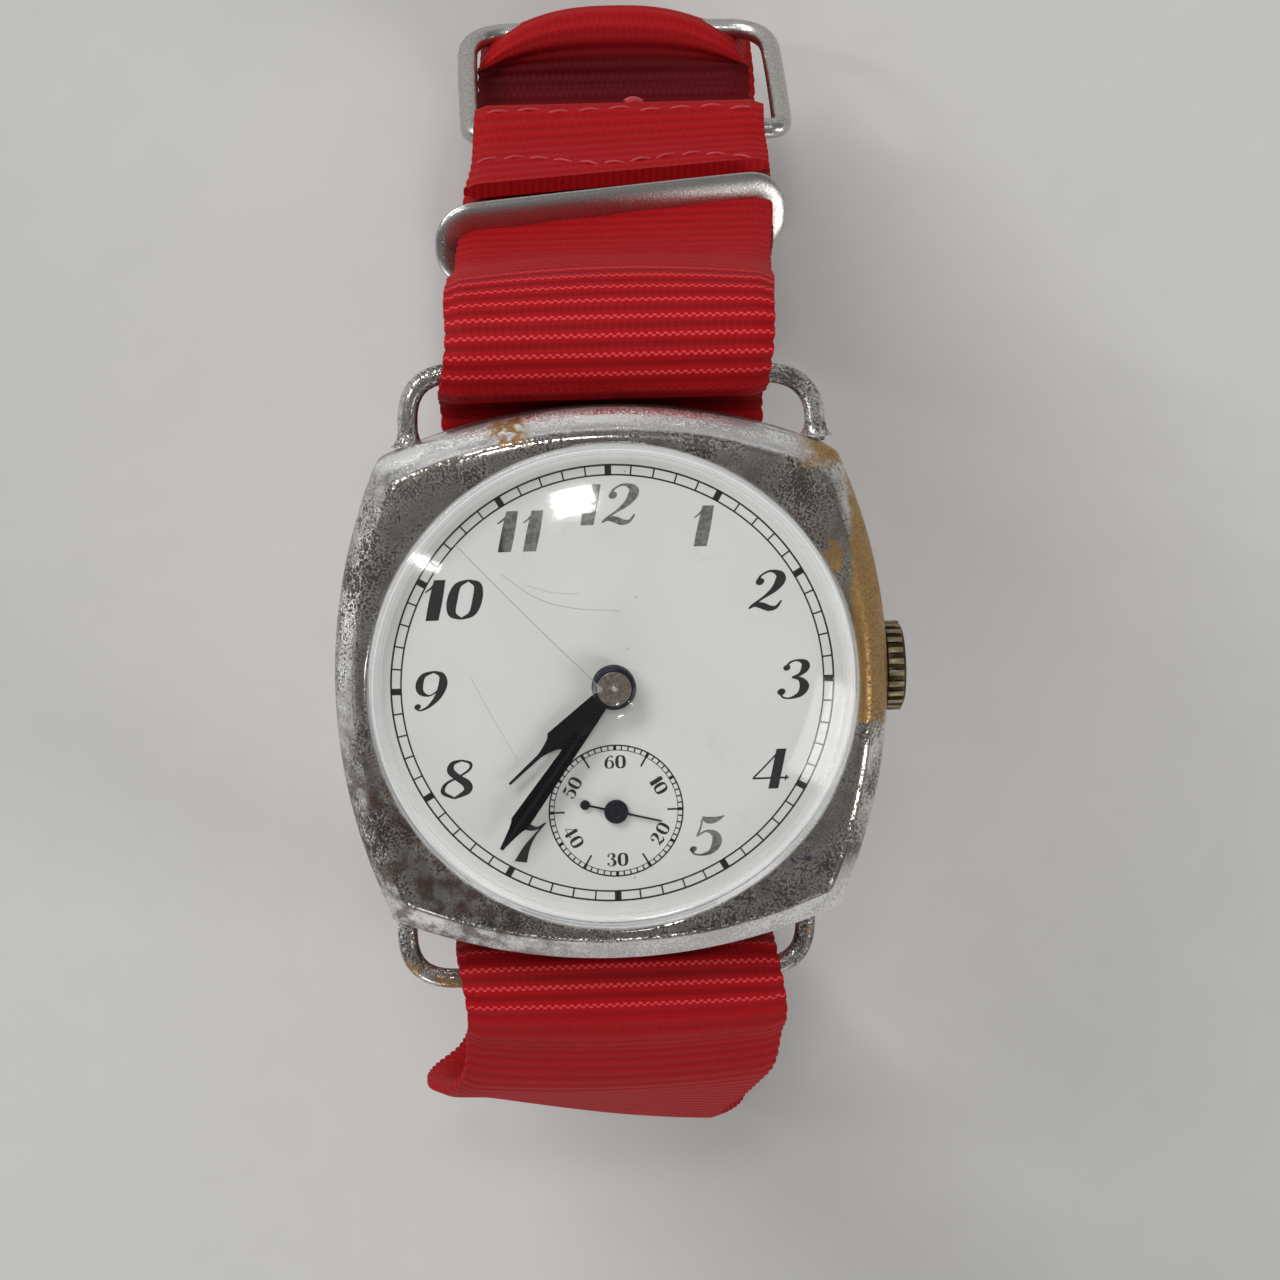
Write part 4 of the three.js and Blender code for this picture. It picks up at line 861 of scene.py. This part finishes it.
def softened(knots, per_span=5):
    """Catmull-Rom points through the knots, for any number of values a knot."""
    knots = [np.array(k, float) for k in knots]
    full = [2 * knots[0] - knots[1]] + knots + [2 * knots[-1] - knots[-2]]
    points = []
    for i in range(1, len(full) - 2):
        p0, p1, p2, p3 = full[i - 1:i + 3]
        for step in range(per_span):
            t = step / per_span
            points.append(0.5 * (2 * p1 + (p2 - p0) * t + (2 * p0 - 5 * p1 + 4 * p2 - p3) * t * t
                                 + (3 * p1 - p0 - 3 * p2 + p3) * t ** 3))
    return points + [knots[-1]]


def stroke_strip(stroke):
    """Left and right edges of one pen stroke, as quads."""
    line = softened(stroke)
    verts, faces = [], []
    for i, (x, y, width) in enumerate(line):
        before, after = line[max(i - 1, 0)], line[min(i + 1, len(line) - 1)]
        dx, dy = after[0] - before[0], after[1] - before[1]
        size = math.hypot(dx, dy) or 1.0
        nx, ny = -dy / size * width / 2, dx / size * width / 2
        verts += [(x + nx, y + ny), (x - nx, y - ny)]
        if i:
            faces.append((2 * i - 2, 2 * i - 1, 2 * i + 1, 2 * i))
    return verts, faces


def round_dot(x, y, radius, sides=14):
    verts = [(x + radius * math.cos(math.tau * i / sides), y + radius * math.sin(math.tau * i / sides))
             for i in range(sides)]
    return verts, [tuple(range(sides))]


def numeral(text, height, x, y, turn=0.0, slant=0.22, squeeze=1.18, thin=1.0):
    """Draws a number as thin raised ink, its strokes laid with a broad pen."""
    all_verts, all_faces = [], []
    pen = 0.0
    gap = 0.10
    for index, letter in enumerate(text):
        advance, strokes = GLYPHS[letter]
        if index and text == "11":
            pen -= 0.02
        for layer, stroke in enumerate(strokes):
            if stroke[0] == BALL:
                verts, faces = round_dot(*stroke[1:])
            else:
                verts, faces = stroke_strip([(a, b, w * thin) for a, b, w in stroke])
            base = len(all_verts)
            lift = layer * 0.0004
            all_verts += [(pen + a, b, lift) for a, b in verts]
            all_faces += [tuple(base + i for i in face) for face in faces]
        pen += advance + gap
    total = pen - gap
    placed = []
    ca, sa = math.cos(math.radians(turn)), math.sin(math.radians(turn))
    for a, b, lift in all_verts:
        u = ((a - total / 2) * squeeze + slant * (b - 0.5)) * height
        v = (b - 0.5) * height
        placed.append((x + u * ca - v * sa, y + u * sa + v * ca, DIAL_TOP + INK + lift))
    mesh = bpy.data.meshes.new("numeral")
    mesh.from_pydata(placed, [], all_faces)
    obj = bpy.data.objects.new("numeral", mesh)
    bpy.context.collection.objects.link(obj)
    open_mesh(obj)
    bpy.ops.mesh.select_all(action="SELECT")
    bpy.ops.mesh.normals_make_consistent(inside=False)
    bpy.ops.object.mode_set(mode="OBJECT")
    for face in mesh.polygons:
        if face.normal.z < 0:
            face.flip()
    thick = obj.modifiers.new("ink", "SOLIDIFY")
    thick.thickness = INK * 0.9
    thick.offset = -1
    bpy.ops.object.modifier_apply(modifier="ink")
    return obj


def make_numerals(ink):
    pieces = []
    for hour in (1, 2, 3, 4, 5, 7, 8, 9, 10, 11, 12):
        turn = math.radians(30 * hour)
        pieces.append(numeral(str(hour), 2.2, HOURS_REACH * math.sin(turn), HOURS_REACH * math.cos(turn)))
    finish_piece(joined(pieces), "hour_numerals", ink, "case", angle=None)
    small = []
    for number in (10, 20, 30, 40, 50, 60):
        turn = number * 6
        upright = 180 if 15 < number < 45 else 0
        angle = math.radians(turn)
        x, y = SMALL_REACH * math.sin(angle), SECONDS_Y + SMALL_REACH * math.cos(angle)
        small.append(numeral(str(number), 0.74, x, y, turn=upright - turn,
                             slant=0.0, squeeze=1.05, thin=1.1))
    finish_piece(joined(small), "seconds_numerals", ink, "case", angle=None)


# ------------------------------------------------------------------ hands

def blade(stations, low, high, edge=0.03):
    """A hand's blade: an edge across the hub is pulled out to each station and narrowed or widened."""
    deselect()
    bpy.ops.mesh.primitive_plane_add(size=1, location=(0, 0, 0))
    obj = bpy.context.object
    open_mesh(obj)
    first, second = stations[0], stations[1]
    pick_verts(obj, lambda co: co.y < 0)
    bpy.ops.transform.translate(value=(0, first[0] + 0.5, low))
    bpy.ops.transform.resize(value=(2 * first[1], 1, 1), center_override=(0, 0, 0))
    pick_verts(obj, lambda co: abs(co.y - 0.5) < 1e-5 and abs(co.z) < 1e-6)
    bpy.ops.transform.translate(value=(0, second[0] - 0.5, low))
    bpy.ops.transform.resize(value=(2 * second[1], 1, 1), center_override=(0, 0, 0))
    reach, half = second
    for next_reach, next_half in stations[2:]:
        bpy.ops.mesh.extrude_edges_move(TRANSFORM_OT_translate={"value": (0, next_reach - reach, 0)})
        bpy.ops.transform.resize(value=(next_half / half, 1, 1), center_override=(0, 0, 0))
        reach, half = next_reach, next_half
    bpy.ops.mesh.select_all(action="SELECT")
    bpy.ops.mesh.extrude_region_move(TRANSFORM_OT_translate={"value": (0, 0, high - low)})
    close_mesh(1e-5)
    bevelled(obj, edge, 50)
    return obj


def eased_stations(start, end, count, power):
    """Stations along a concave or convex side between two (reach, half width) pairs."""
    points = []
    for i in range(1, count + 1):
        t = i / count
        points.append((start[0] + (end[0] - start[0]) * t, start[1] + (end[1] - start[1]) * t ** power))
    return points


def hand_turn(degrees, pivot_y=0):
    """Turns a hand drawn at 12 clockwise to its place, about a pivot on the dial's upright line."""
    return Matrix.Translation((0, pivot_y, 0)) @ Matrix.Rotation(-math.radians(degrees), 4, "Z")


def make_hands(steel, hub):
    hour = [(0.8, 0.24), (3.35, 0.30), (3.75, 0.56), (4.35, 0.60)]
    hour += eased_stations((4.35, 0.60), (5.5, 0.11), 6, 0.55) + [(7.75, 0.06)]
    ring = flat_band(0.88, 1.19, 50.0, 50.15, 64)
    obj = moved(joined([blade(hour, 50.0, 50.13), ring]), hand_turn(HOUR_DEG))
    finish_piece(obj, "hour_hand_blued", steel, "hour", ["hour_hand"])
    minute = [(0.8, 0.33), (9.0, 0.53)] + eased_stations((9.0, 0.53), (10.75, 0.10), 6, 0.62)
    collar = turned([(0, 50.44), (1.12, 50.44), (1.2, 50.5), (1.2, 50.66), (1.12, 50.78), (1.0, 50.82),
                     (0.94, 50.80), (0, 50.80)], 64)
    obj = moved(joined([blade(minute, 50.45, 50.6), collar]), hand_turn(MINUTE_DEG))
    finish_piece(obj, "minute_hand_blued", steel, "center", ["minute_hand"])
    cap = turned([(0, 50.7), (0.93, 50.7), (0.93, 50.86), (0.88, 50.91), (0.5, 50.90), (0.2, 50.89),
                  (0.13, 50.92), (0.06, 50.94), (0, 50.945)], 64)
    finish_piece(cap, "center_cap", hub, "center")
    seconds = [(-1.55, 0.055), (0.0, 0.075), (1.4, 0.05), (2.54, 0.045)]
    disc = moved(turned([(0, 49.72), (0.25, 49.72), (0.27, 49.75), (0.27, 49.80), (0.22, 49.86),
                         (0, 49.88)], 32), Matrix.Translation((0, -1.74, 0)))
    boss = turned([(0, 49.70), (0.62, 49.70), (0.66, 49.74), (0.66, 49.86), (0.6, 49.93), (0.3, 49.95),
                   (0.26, 49.92), (0, 49.92)], 48)
    hand = joined([blade(seconds, 49.73, 49.82, 0.015), disc, boss])
    obj = moved(hand, hand_turn(SECOND_DEG, SECONDS_Y))
    finish_piece(obj, "seconds_hand_blued", steel, "fourth", ["second_hand"])


# ------------------------------------------------------------------ strap

def eased(low, high, value):
    """Rises smoothly from 0 at low to 1 at high."""
    part = np.clip((value - low) / (high - low), 0, 1)
    return part * part * (3 - 2 * part)


def sideways(y, z):
    """The worn strap lies askew: each side wanders sideways as it leaves the case."""
    wander_12 = LEAN_12 + (DRIFT_12 - LEAN_12) * eased(47, 17, z)
    wander_6 = LEAN_6 + (DRIFT_6 - LEAN_6) * eased(46, 30, z) * eased(19, 31, z)
    wander = np.where(y > 0, wander_12 * eased(0.6, 3, z), wander_6 * eased(2, 12, z))
    return eased(15, 20, np.abs(y)) * wander + 1.1 * eased(12, 2, z)


def beside(up, out):
    """Place beside the buckle's straight stretch: up from its near bar, and out."""
    place = NEAR_BAR + ALONG * up + OUT * out
    return (place.y, place.z)


def strap_route():
    """The band's middle line from the sewn flap's end to the tail's tip, as (y, z)."""
    flap = [beside(FLAP_UP, 0.64), beside(5.6, 0.64), beside(3.4, 0.72), beside(1.2, 1.25)]
    eye = [beside(0, 1.36), beside(-1, 0.92), beside(-1.36, 0), beside(-1, -0.92), beside(0, -1.36)]
    main = [beside(1.2, -1.25), beside(3.6, -0.72), beside(7, -0.64), beside(16.5, -0.64)]
    crest = [(21.3, 42.0), (20.9, 44.9), (19.5, 46.9), (17.7, 47.55), (16.1, 47.05), (15.57, 45.9)]
    under = [(15.4, 44.2), (14.5, 42.85), (12.4, 42.5), (0, 42.5)]
    left = [(-y, z) for y, z in under[2::-1]]
    left_crest = [(-y, z) for y, z in crest[:0:-1]]
    left_side = [(-24.0, 42.0), (-27.7, 34), (-29.8, 25), (-29.0, 14.5), (-24.6, 5.6), (-17.0, 1.15)]
    floor = [(-12, 0.55), (0, 0.55), (12, 0.55)]
    rise = [(21, 0.9), (29.5, 3.0), (34.2, 6.2), (36.1, 9.2)]
    over_bar = [(36.45, 10.5), (36.0, 11.65), (34.9, 12.0), (33.6, 11.5), (31.4, 11.5), (28.9, 14.2)]
    tail = [beside(-0.4, -2.8), beside(3.6, -1.95), beside(7, -1.9), beside(15.5, -1.9)]
    right_half = flap + eye + main + crest + under
    return right_half + left + left_crest + left_side + floor + rise + over_bar + tail


def fair_curve(knots, per_span=24):
    """Centripetal curve through the knots."""
    points = [np.array(k, float) for k in knots]
    points = [2 * points[0] - points[1]] + points + [2 * points[-1] - points[-2]]
    line = []
    for p0, p1, p2, p3 in zip(points, points[1:], points[2:], points[3:]):
        d0, d1, d2 = (np.linalg.norm(b - a) ** 0.5 for a, b in ((p0, p1), (p1, p2), (p2, p3)))
        t1 = ((p1 - p0) / d0 - (p2 - p0) / (d0 + d1) + (p2 - p1) / d1) * d1
        t2 = ((p2 - p1) / d1 - (p3 - p1) / (d1 + d2) + (p3 - p2) / d2) * d1
        for i in range(per_span):
            t = i / per_span
            a = 2 * p1 - 2 * p2 + t1 + t2
            b = -3 * p1 + 3 * p2 - 2 * t1 - t2
            line.append(a * t ** 3 + b * t ** 2 + t1 * t + p1)
    line.append(points[-2])
    return np.array(line)


class Route:
    """The strap's route by length, with the ways along and out of the band at each place."""

    def __init__(self):
        line = fair_curve(strap_route())
        steps = np.linalg.norm(np.diff(line, axis=0), axis=1)
        self.length = float(steps.sum())
        reach = np.concatenate([[0], np.cumsum(steps)])
        count = 4000
        at = np.linspace(0, self.length, count)
        self.at = at
        self.y = np.interp(at, reach, line[:, 0])
        self.z = np.interp(at, reach, line[:, 1])
        ty, tz = np.gradient(self.y, at), np.gradient(self.z, at)
        width = 9
        kernel = np.ones(width) / width
        pad = width // 2
        ty = np.convolve(np.pad(ty, pad, mode="edge"), kernel, mode="valid")
        tz = np.convolve(np.pad(tz, pad, mode="edge"), kernel, mode="valid")
        size = np.hypot(ty, tz)
        self.ty, self.tz = ty / size, tz / size
        self.crest = self.nearest(21.6, 40.5)
        self.other_crest = self.nearest(-21.8, 43.6)
        self.far_bar = self.nearest(36.3, 11.2)
        self.low_side = self.nearest(-29.7, 21.0)
        # Spans of the band whose rib crests get a painted highlight, by the case at 12 and at 6.
        self.shine_12 = (self.nearest(21.2, 43.6), self.nearest(16.3, 47.2))
        self.shine_6 = (self.nearest(-15.6, 46.0), self.nearest(-18.4, 47.4))

    def nearest(self, y, z):
        """Length along the route of the place nearest to a point."""
        return float(self.at[np.argmin((self.y - y) ** 2 + (self.z - z) ** 2)])

    def laid(self, across, along, height):
        """Takes flat places (across, along, height above the middle) to where they lie on the watch."""
        before = np.minimum(along, 0)
        along = np.clip(along, 0, self.length)
        y, z = np.interp(along, self.at, self.y), np.interp(along, self.at, self.z)
        ty, tz = np.interp(along, self.at, self.ty), np.interp(along, self.at, self.tz)
        y, z = y + ty * before, z + tz * before
        upper = eased(19, 20, z)
        pinched = 0.985 + 0.02 * eased(18.5, 23, y) * upper - 0.03 * eased(25.2, 28, y)
        width = across / (STRAP_WIDTH / 2)
        # The band's middle sags below its edges where it turns over by the case and lies low at 6.
        sag = 0.75 * bell(along, self.crest, 9.0) + 0.6 * bell(along, self.other_crest, 9.0)
        sag = sag + 1.0 * bell(along, self.low_side, 16.0)
        arch = bell(along, self.far_bar, 4.5)
        pinched = pinched - 0.03 * arch * width ** 2
        lift = height - sag * (1 - width ** 2) + 0.28 * arch
        # The edges ride down the ring's round corners, and the low side is twisted.
        droop = arch * np.abs(width) ** 2.6
        twist = 2.0 * bell(along, self.low_side, 22.0) * width
        spot_y = y - tz * lift - DROOP_IN * droop - twist
        spot_z = z + ty * lift + DROOP_UP * droop
        return across * pinched + sideways(y, z), spot_y, spot_z


def bell(value, centre, reach):
    """One at the centre, falling smoothly to nothing within reach of it."""
    share = np.clip(np.abs(value - centre) / reach, 0, 1)
    return (1 - share ** 2) ** 2


route = Route()


def rib(along):
    """Height of the woven ribs, full and round with a tight valley between."""
    return np.abs(np.cos(along * math.pi / RIB_PITCH)) ** 0.7


def band_holes():
    """Places punched through the tail, as lengths along the flat band."""
    return [route.nearest(y, 0.55) for y in (-10, -3, 4, 11)]


def make_strap(material):
    """Woven band: cut flat, ribbed and thickened, then laid along its route."""
    columns = 24
    rows = int(route.length / (RIB_PITCH / 6))
    deselect()
    bpy.ops.mesh.primitive_grid_add(x_subdivisions=columns, y_subdivisions=rows, size=1, calc_uvs=True)
    obj = bpy.context.object
    open_mesh(obj)
    bpy.ops.mesh.select_all(action="SELECT")
    bpy.ops.transform.resize(value=(STRAP_WIDTH, route.length, 1), center_override=(0, 0, 0))
    bpy.ops.transform.translate(value=(0, route.length / 2, 0))
    holes = band_holes()

    def in_hole(face):
        middle = face.calc_center_median()
        return any(math.hypot(middle.x, middle.y - hole) < 0.8 for hole in holes)

    pick_faces(obj, in_hole)
    bpy.ops.mesh.delete(type="FACE")
    bpy.ops.object.mode_set(mode="OBJECT")
    obj.data.uv_layers[0].name = "weave"
    coords = obj.data.uv_layers[0].uv
    flat_uv = np.empty(len(coords) * 2)
    coords.foreach_get("vector", flat_uv)
    flat_uv[0::2] = (flat_uv[0::2] - 0.5) * STRAP_WIDTH
    flat_uv[1::2] *= route.length
    coords.foreach_set("vector", flat_uv)
    wall = obj.modifiers.new("thickness", "SOLIDIFY")
    wall.thickness = 2 * STRAP_HALF_THICK
    wall.offset = 0
    bpy.ops.object.modifier_apply(modifier="thickness")
    count = len(obj.data.vertices)
    flat = np.empty(count * 3)
    obj.data.vertices.foreach_get("co", flat)
    across, along, height = flat[0::3], flat[1::3], flat[2::3]
    side = np.sign(height)
    # The edges are rolled thin, scalloped by the ribs and a little wavy.
    edge = np.clip((np.abs(across) - 8.45) / 0.55, 0, 1)
    rolled = np.sqrt(np.clip(1 - edge ** 2 * 0.8, 0, 1))
    lumps = rib(along)
    thick = (STRAP_HALF_THICK + RIB_HEIGHT * lumps) * rolled
    by_edge = np.abs(across) > 8.3
    scallop = 1 + np.where(by_edge, 0.014 * (lumps - 0.5), 0)
    wobble = 0.05 * np.sin(along * 0.9) + 0.04 * np.sin(along * 0.37 + 1.0)
    spread = across * scallop + np.where(by_edge, wobble, 0)
    flap_skew = 1.4 * across / (STRAP_WIDTH / 2) * np.clip(1 - along / 8, 0, 1)
    x, y, z = route.laid(spread, along + flap_skew, -side * thick)
    flat[0::3], flat[1::3], flat[2::3] = x, y, z
    obj.data.vertices.foreach_set("co", flat)
    obj.data.update()
    open_mesh(obj)
    bpy.ops.mesh.select_all(action="SELECT")
    bpy.ops.mesh.normals_make_consistent(inside=False)
    bpy.ops.object.mode_set(mode="OBJECT")
    finish_piece(obj, "strap_webbing", material, "case", ["strap_band"], angle=60)


def stitch(across, along, length, skew, radius=0.085):
    """One thread stitch lying on the flap's outer face, a little sunk at both ends."""
    points = []
    for share in (-0.5, -0.3, 0.0, 0.3, 0.5):
        u = across + share * length
        v = along + share * skew
        rise = STRAP_HALF_THICK + RIB_HEIGHT + 0.04 - 0.55 * abs(share) ** 2
        x, y, z = route.laid(np.array([u]), np.array([v]), np.array([rise]))
        points.append(Vector((x[0], y[0], z[0])))
    return wire(points, radius, bevel=2, resolution=3)


def make_stitches(material):
    """Two rows of stitches hold the flap: one by the fold, one wavy row by its end."""
    pieces = []
    for i in range(9):
        across = -7.6 + i * 1.9
        pieces.append(stitch(across, FLAP_UP - 0.5 + 0.15 * math.sin(i * 2.1), 1.3, 0.1))
    for i in range(11):
        across = -8.0 + i * 1.55
        pieces.append(stitch(across, 1.7 + 0.5 * math.sin(i * 0.9 + 0.6), 1.15, 0.5 * math.cos(i * 0.9)))
    pieces.append(stitch(0.9, FLAP_UP + 0.6, 0.9, 0.3, 0.3))
    finish_piece(joined(pieces), "flap_stitches", material, "case", angle=60)


# ------------------------------------------------------------------ buckle and keeper

def beside_matrix(up, out, across):
    """Takes a ring drawn flat to beside the buckle's straight stretch, facing out of the band."""
    place = NEAR_BAR + ALONG * up + OUT * out
    matrix = Matrix.Identity(4)
    matrix.col[0] = (-1, 0, 0, 0)
    matrix.col[1] = (0, ALONG.y, ALONG.z, 0)
    matrix.col[2] = (0, OUT.y, OUT.z, 0)
    matrix.col[3] = (across, place.y, place.z, 1)
    return matrix


def rounded_ring(width, height, upper, lower):
    """An oblong's points, with one corner radius at its upper end and one at its lower end."""
    corners = [Vector((sx * width / 2, sy * height / 2, 0))
               for sx, sy in ((1, 1), (-1, 1), (-1, -1), (1, -1))]
    points = []
    for i, corner in enumerate(corners):
        radius = upper if corner.y > 0 else lower
        points += corner_points(corners[i - 1], corner, corners[(i + 1) % 4], radius)
    return points


def make_buckle(material):
    """Buckle ring, hanging from its near bar, with tight corners there and round ones at its far end."""
    outline = rounded_ring(BUCKLE_INNER + 2 * BUCKLE_WIRE, BUCKLE_REACH, 0.9, 2.8)
    ring = wire(outline, BUCKLE_WIRE, closed=True, bevel=6, resolution=5)
    hang = Matrix.Rotation(-math.radians(BUCKLE_HANG), 4, "X")
    hang = hang @ Matrix.Translation((0, -BUCKLE_REACH / 2, 0))
    obj = moved(ring, beside_matrix(0, 0, DRIFT_12 + 0.4) @ hang)
    finish_piece(obj, "buckle_ring", material, "buckle", ["buckle_frame"], angle=60)


def make_keeper(material):
    """Keeper: a flat oval bar bent to a long ring and set a little crooked on the strap."""
    width, depth, corner = 19.35, 3.1, 1.5
    deselect()
    bpy.ops.curve.primitive_bezier_circle_add(radius=1.0)
    section = bpy.context.object
    section.scale = (0.95, 0.3, 1.0)
    bpy.ops.object.transform_apply(location=False, rotation=False, scale=True)
    curve = bent_curve(rounded_ring(width, depth, corner, corner), closed=True, resolution=6)
    curve.bevel_mode = "OBJECT"
    curve.bevel_object = section
    bpy.ops.object.convert(target="MESH")
    obj = bpy.context.object
    bpy.data.objects.remove(section)
    tilt = Matrix.Rotation(-math.radians(KEEPER_TILT), 4, "Z")
    turn = tilt @ Matrix.Rotation(math.radians(100), 4, "X")
    y, z = beside(KEEPER_UP, 0)
    drift = float(sideways(np.array(y), np.array(z))) - 0.25
    obj = moved(obj, beside_matrix(KEEPER_UP, -1.27, drift) @ turn)
    finish_piece(obj, "keeper_ring", material, "keeper", ["keeper_loop"], angle=60)


# ------------------------------------------------------------------ inside, light and camera

def dress_movement():
    """The pieces that keep their first shape, most of them the movement's, get their metals."""
    steel = plain_metal("polished_steel", (0.62, 0.62, 0.62), (0.42, 0.42, 0.43), 0.16, (1, 6, 1))
    gilt = plain_metal("gilt_brass", (0.78, 0.58, 0.26), (0.60, 0.42, 0.17), 0.2, (1, 1, 1), 2.0)
    nickel = plain_metal("brushed_plate_nickel", (0.66, 0.65, 0.62), (0.50, 0.49, 0.46), 0.24,
                         (9, 1, 1), 2.0)
    finishes = {"movement_steel": steel, "gilt_brass": gilt, "plate_nickel": nickel,
                "blued_steel": blued_steel(), "crown_brass": gilt, "worn_nickel": nickel,
                "strap_steel": steel}
    slots = {row["node"]: row["material_slot"] for row in frame["record"]["subparts"]}
    for name, node in frame["nodes"].items():
        metal = finishes.get(slots[name])
        if metal is not None:
            node.data.materials.clear()
            node.data.materials.append(metal)


def area_light(place, size, power, target, colour=(1, 1, 1)):
    data = bpy.data.lights.new("softbox", "AREA")
    data.shape = "RECTANGLE"
    data.size, data.size_y = size
    data.energy = power
    data.color = colour
    lamp = bpy.data.objects.new("softbox", data)
    bpy.context.collection.objects.link(lamp)
    lamp.location = place
    lamp.rotation_euler = (Vector(target) - Vector(place)).to_track_quat("-Z", "Y").to_euler()


def light_scene():
    world = bpy.data.worlds.new("studio")
    bpy.context.scene.world = world
    world.use_nodes = True
    tree = world.node_tree
    place = tree.nodes.new("ShaderNodeTexCoord")
    axes = tree.nodes.new("ShaderNodeSeparateXYZ")
    ramp = tree.nodes.new("ShaderNodeValToRGB")
    tree.links.new(place.outputs["Generated"], axes.inputs[0])
    tree.links.new(axes.outputs["Z"], ramp.inputs["Fac"])
    tree.links.new(ramp.outputs["Color"], tree.nodes["Background"].inputs["Color"])
    stops = ramp.color_ramp.elements
    stops[0].color = (0.60, 0.605, 0.61, 1)
    stops[1].color = (0.36, 0.36, 0.365, 1)
    stops.new(0.12).color = (1.15, 1.17, 1.2, 1)
    stops.new(0.30).color = (1.15, 1.17, 1.2, 1)
    stops.new(0.50).color = (0.32, 0.32, 0.325, 1)
    tree.nodes["Background"].inputs["Strength"].default_value = 0.50
    centre = (0, 0, 0.05)
    # A wide key from beyond 11, a warm fill from 4, two small lamps that gleam in the crystal, and
    # a low one from 6 for the near flanks.
    area_light((-0.26, 0.40, 0.36), (0.40, 0.16), 1.9, centre)
    area_light((0.40, -0.20, 0.36), (0.16, 0.30), 0.85, centre, (1.0, 0.98, 0.95))
    area_light((-0.25, 0.11, 0.38), (0.012, 0.11), 0.18, centre)
    area_light((-0.028, 0.175, 0.50), (0.056, 0.036), 0.30, centre)
    area_light((-0.10, -0.46, 0.20), (0.5, 0.14), 0.55, centre)
    view = bpy.context.scene.view_settings
    view.view_transform = "Standard"


def make_floor():
    deselect()
    bpy.ops.mesh.primitive_plane_add(size=6.0, location=(0, 0, -0.0006))
    floor = bpy.context.object
    floor.name = "studio_floor"
    floor.data.materials.append(pale_floor())


def place_camera():
    distance, focal_length = 185.0, 96.2
    lean_to_12, lean_to_9, roll = 10.5, 2.5, 1.3
    # The dial sits a little low and left of the frame's middle.
    aim_right, aim_up = 1.46, 2.43
    centre = Vector((0, 0, DIAL_TOP))
    back = Vector((-math.sin(math.radians(lean_to_9)), math.sin(math.radians(lean_to_12)), 1.0))
    back.z = math.sqrt(1 - back.x ** 2 - back.y ** 2)
    eye = centre + back * distance
    up_hint = Vector((math.sin(math.radians(roll)), math.cos(math.radians(roll)), 0))
    right = up_hint.cross(back).normalized()
    up = back.cross(right)
    target = centre + right * aim_right + up * aim_up
    look = (target - eye).normalized()
    right = look.cross(up_hint).normalized()
    up = right.cross(look)
    data = bpy.data.cameras.new("view")
    data.sensor_width = 36
    data.lens = focal_length
    data.clip_start = 0.01
    data.clip_end = 10
    camera = bpy.data.objects.new("view", data)
    bpy.context.collection.objects.link(camera)
    turn = Matrix((right, up, -look)).transposed().to_4x4()
    camera.matrix_world = Matrix.Translation(eye * MM) @ turn
    bpy.context.scene.camera = camera


# ------------------------------------------------------------------ the watch

place_camera()
light_scene()
make_floor()

bezel_plate = worn_nickel("worn_nickel_bezel", bezel_brass, land=True)
band_plate = worn_nickel("worn_nickel_band", middle_brass)
lug_plate = worn_nickel("worn_nickel_lugs", lug_brass)
make_bezel(bezel_plate)
make_case_middle(band_plate)
make_case_back(band_plate)
make_lug(1, "lug_wire_12", lug_plate)
make_lug(-1, "lug_wire_6", lug_plate)
make_crown(crown_metal())

make_dial(dial_paint())
ink = dial_ink()
make_tracks(ink)
make_numerals(ink)
make_hands(blued_steel(), hub_steel())
make_crystal(clear_crystal())
make_scratches(scratch_film())

make_strap(woven_nylon("red_webbing"))
make_stitches(red_thread())
fittings = plain_metal("satin_steel", (0.60, 0.59, 0.56), (0.36, 0.35, 0.33), 0.22, (1, 1, 1), 7.0, 0.3)
make_buckle(fittings)
make_keeper(fittings)
dress_movement()
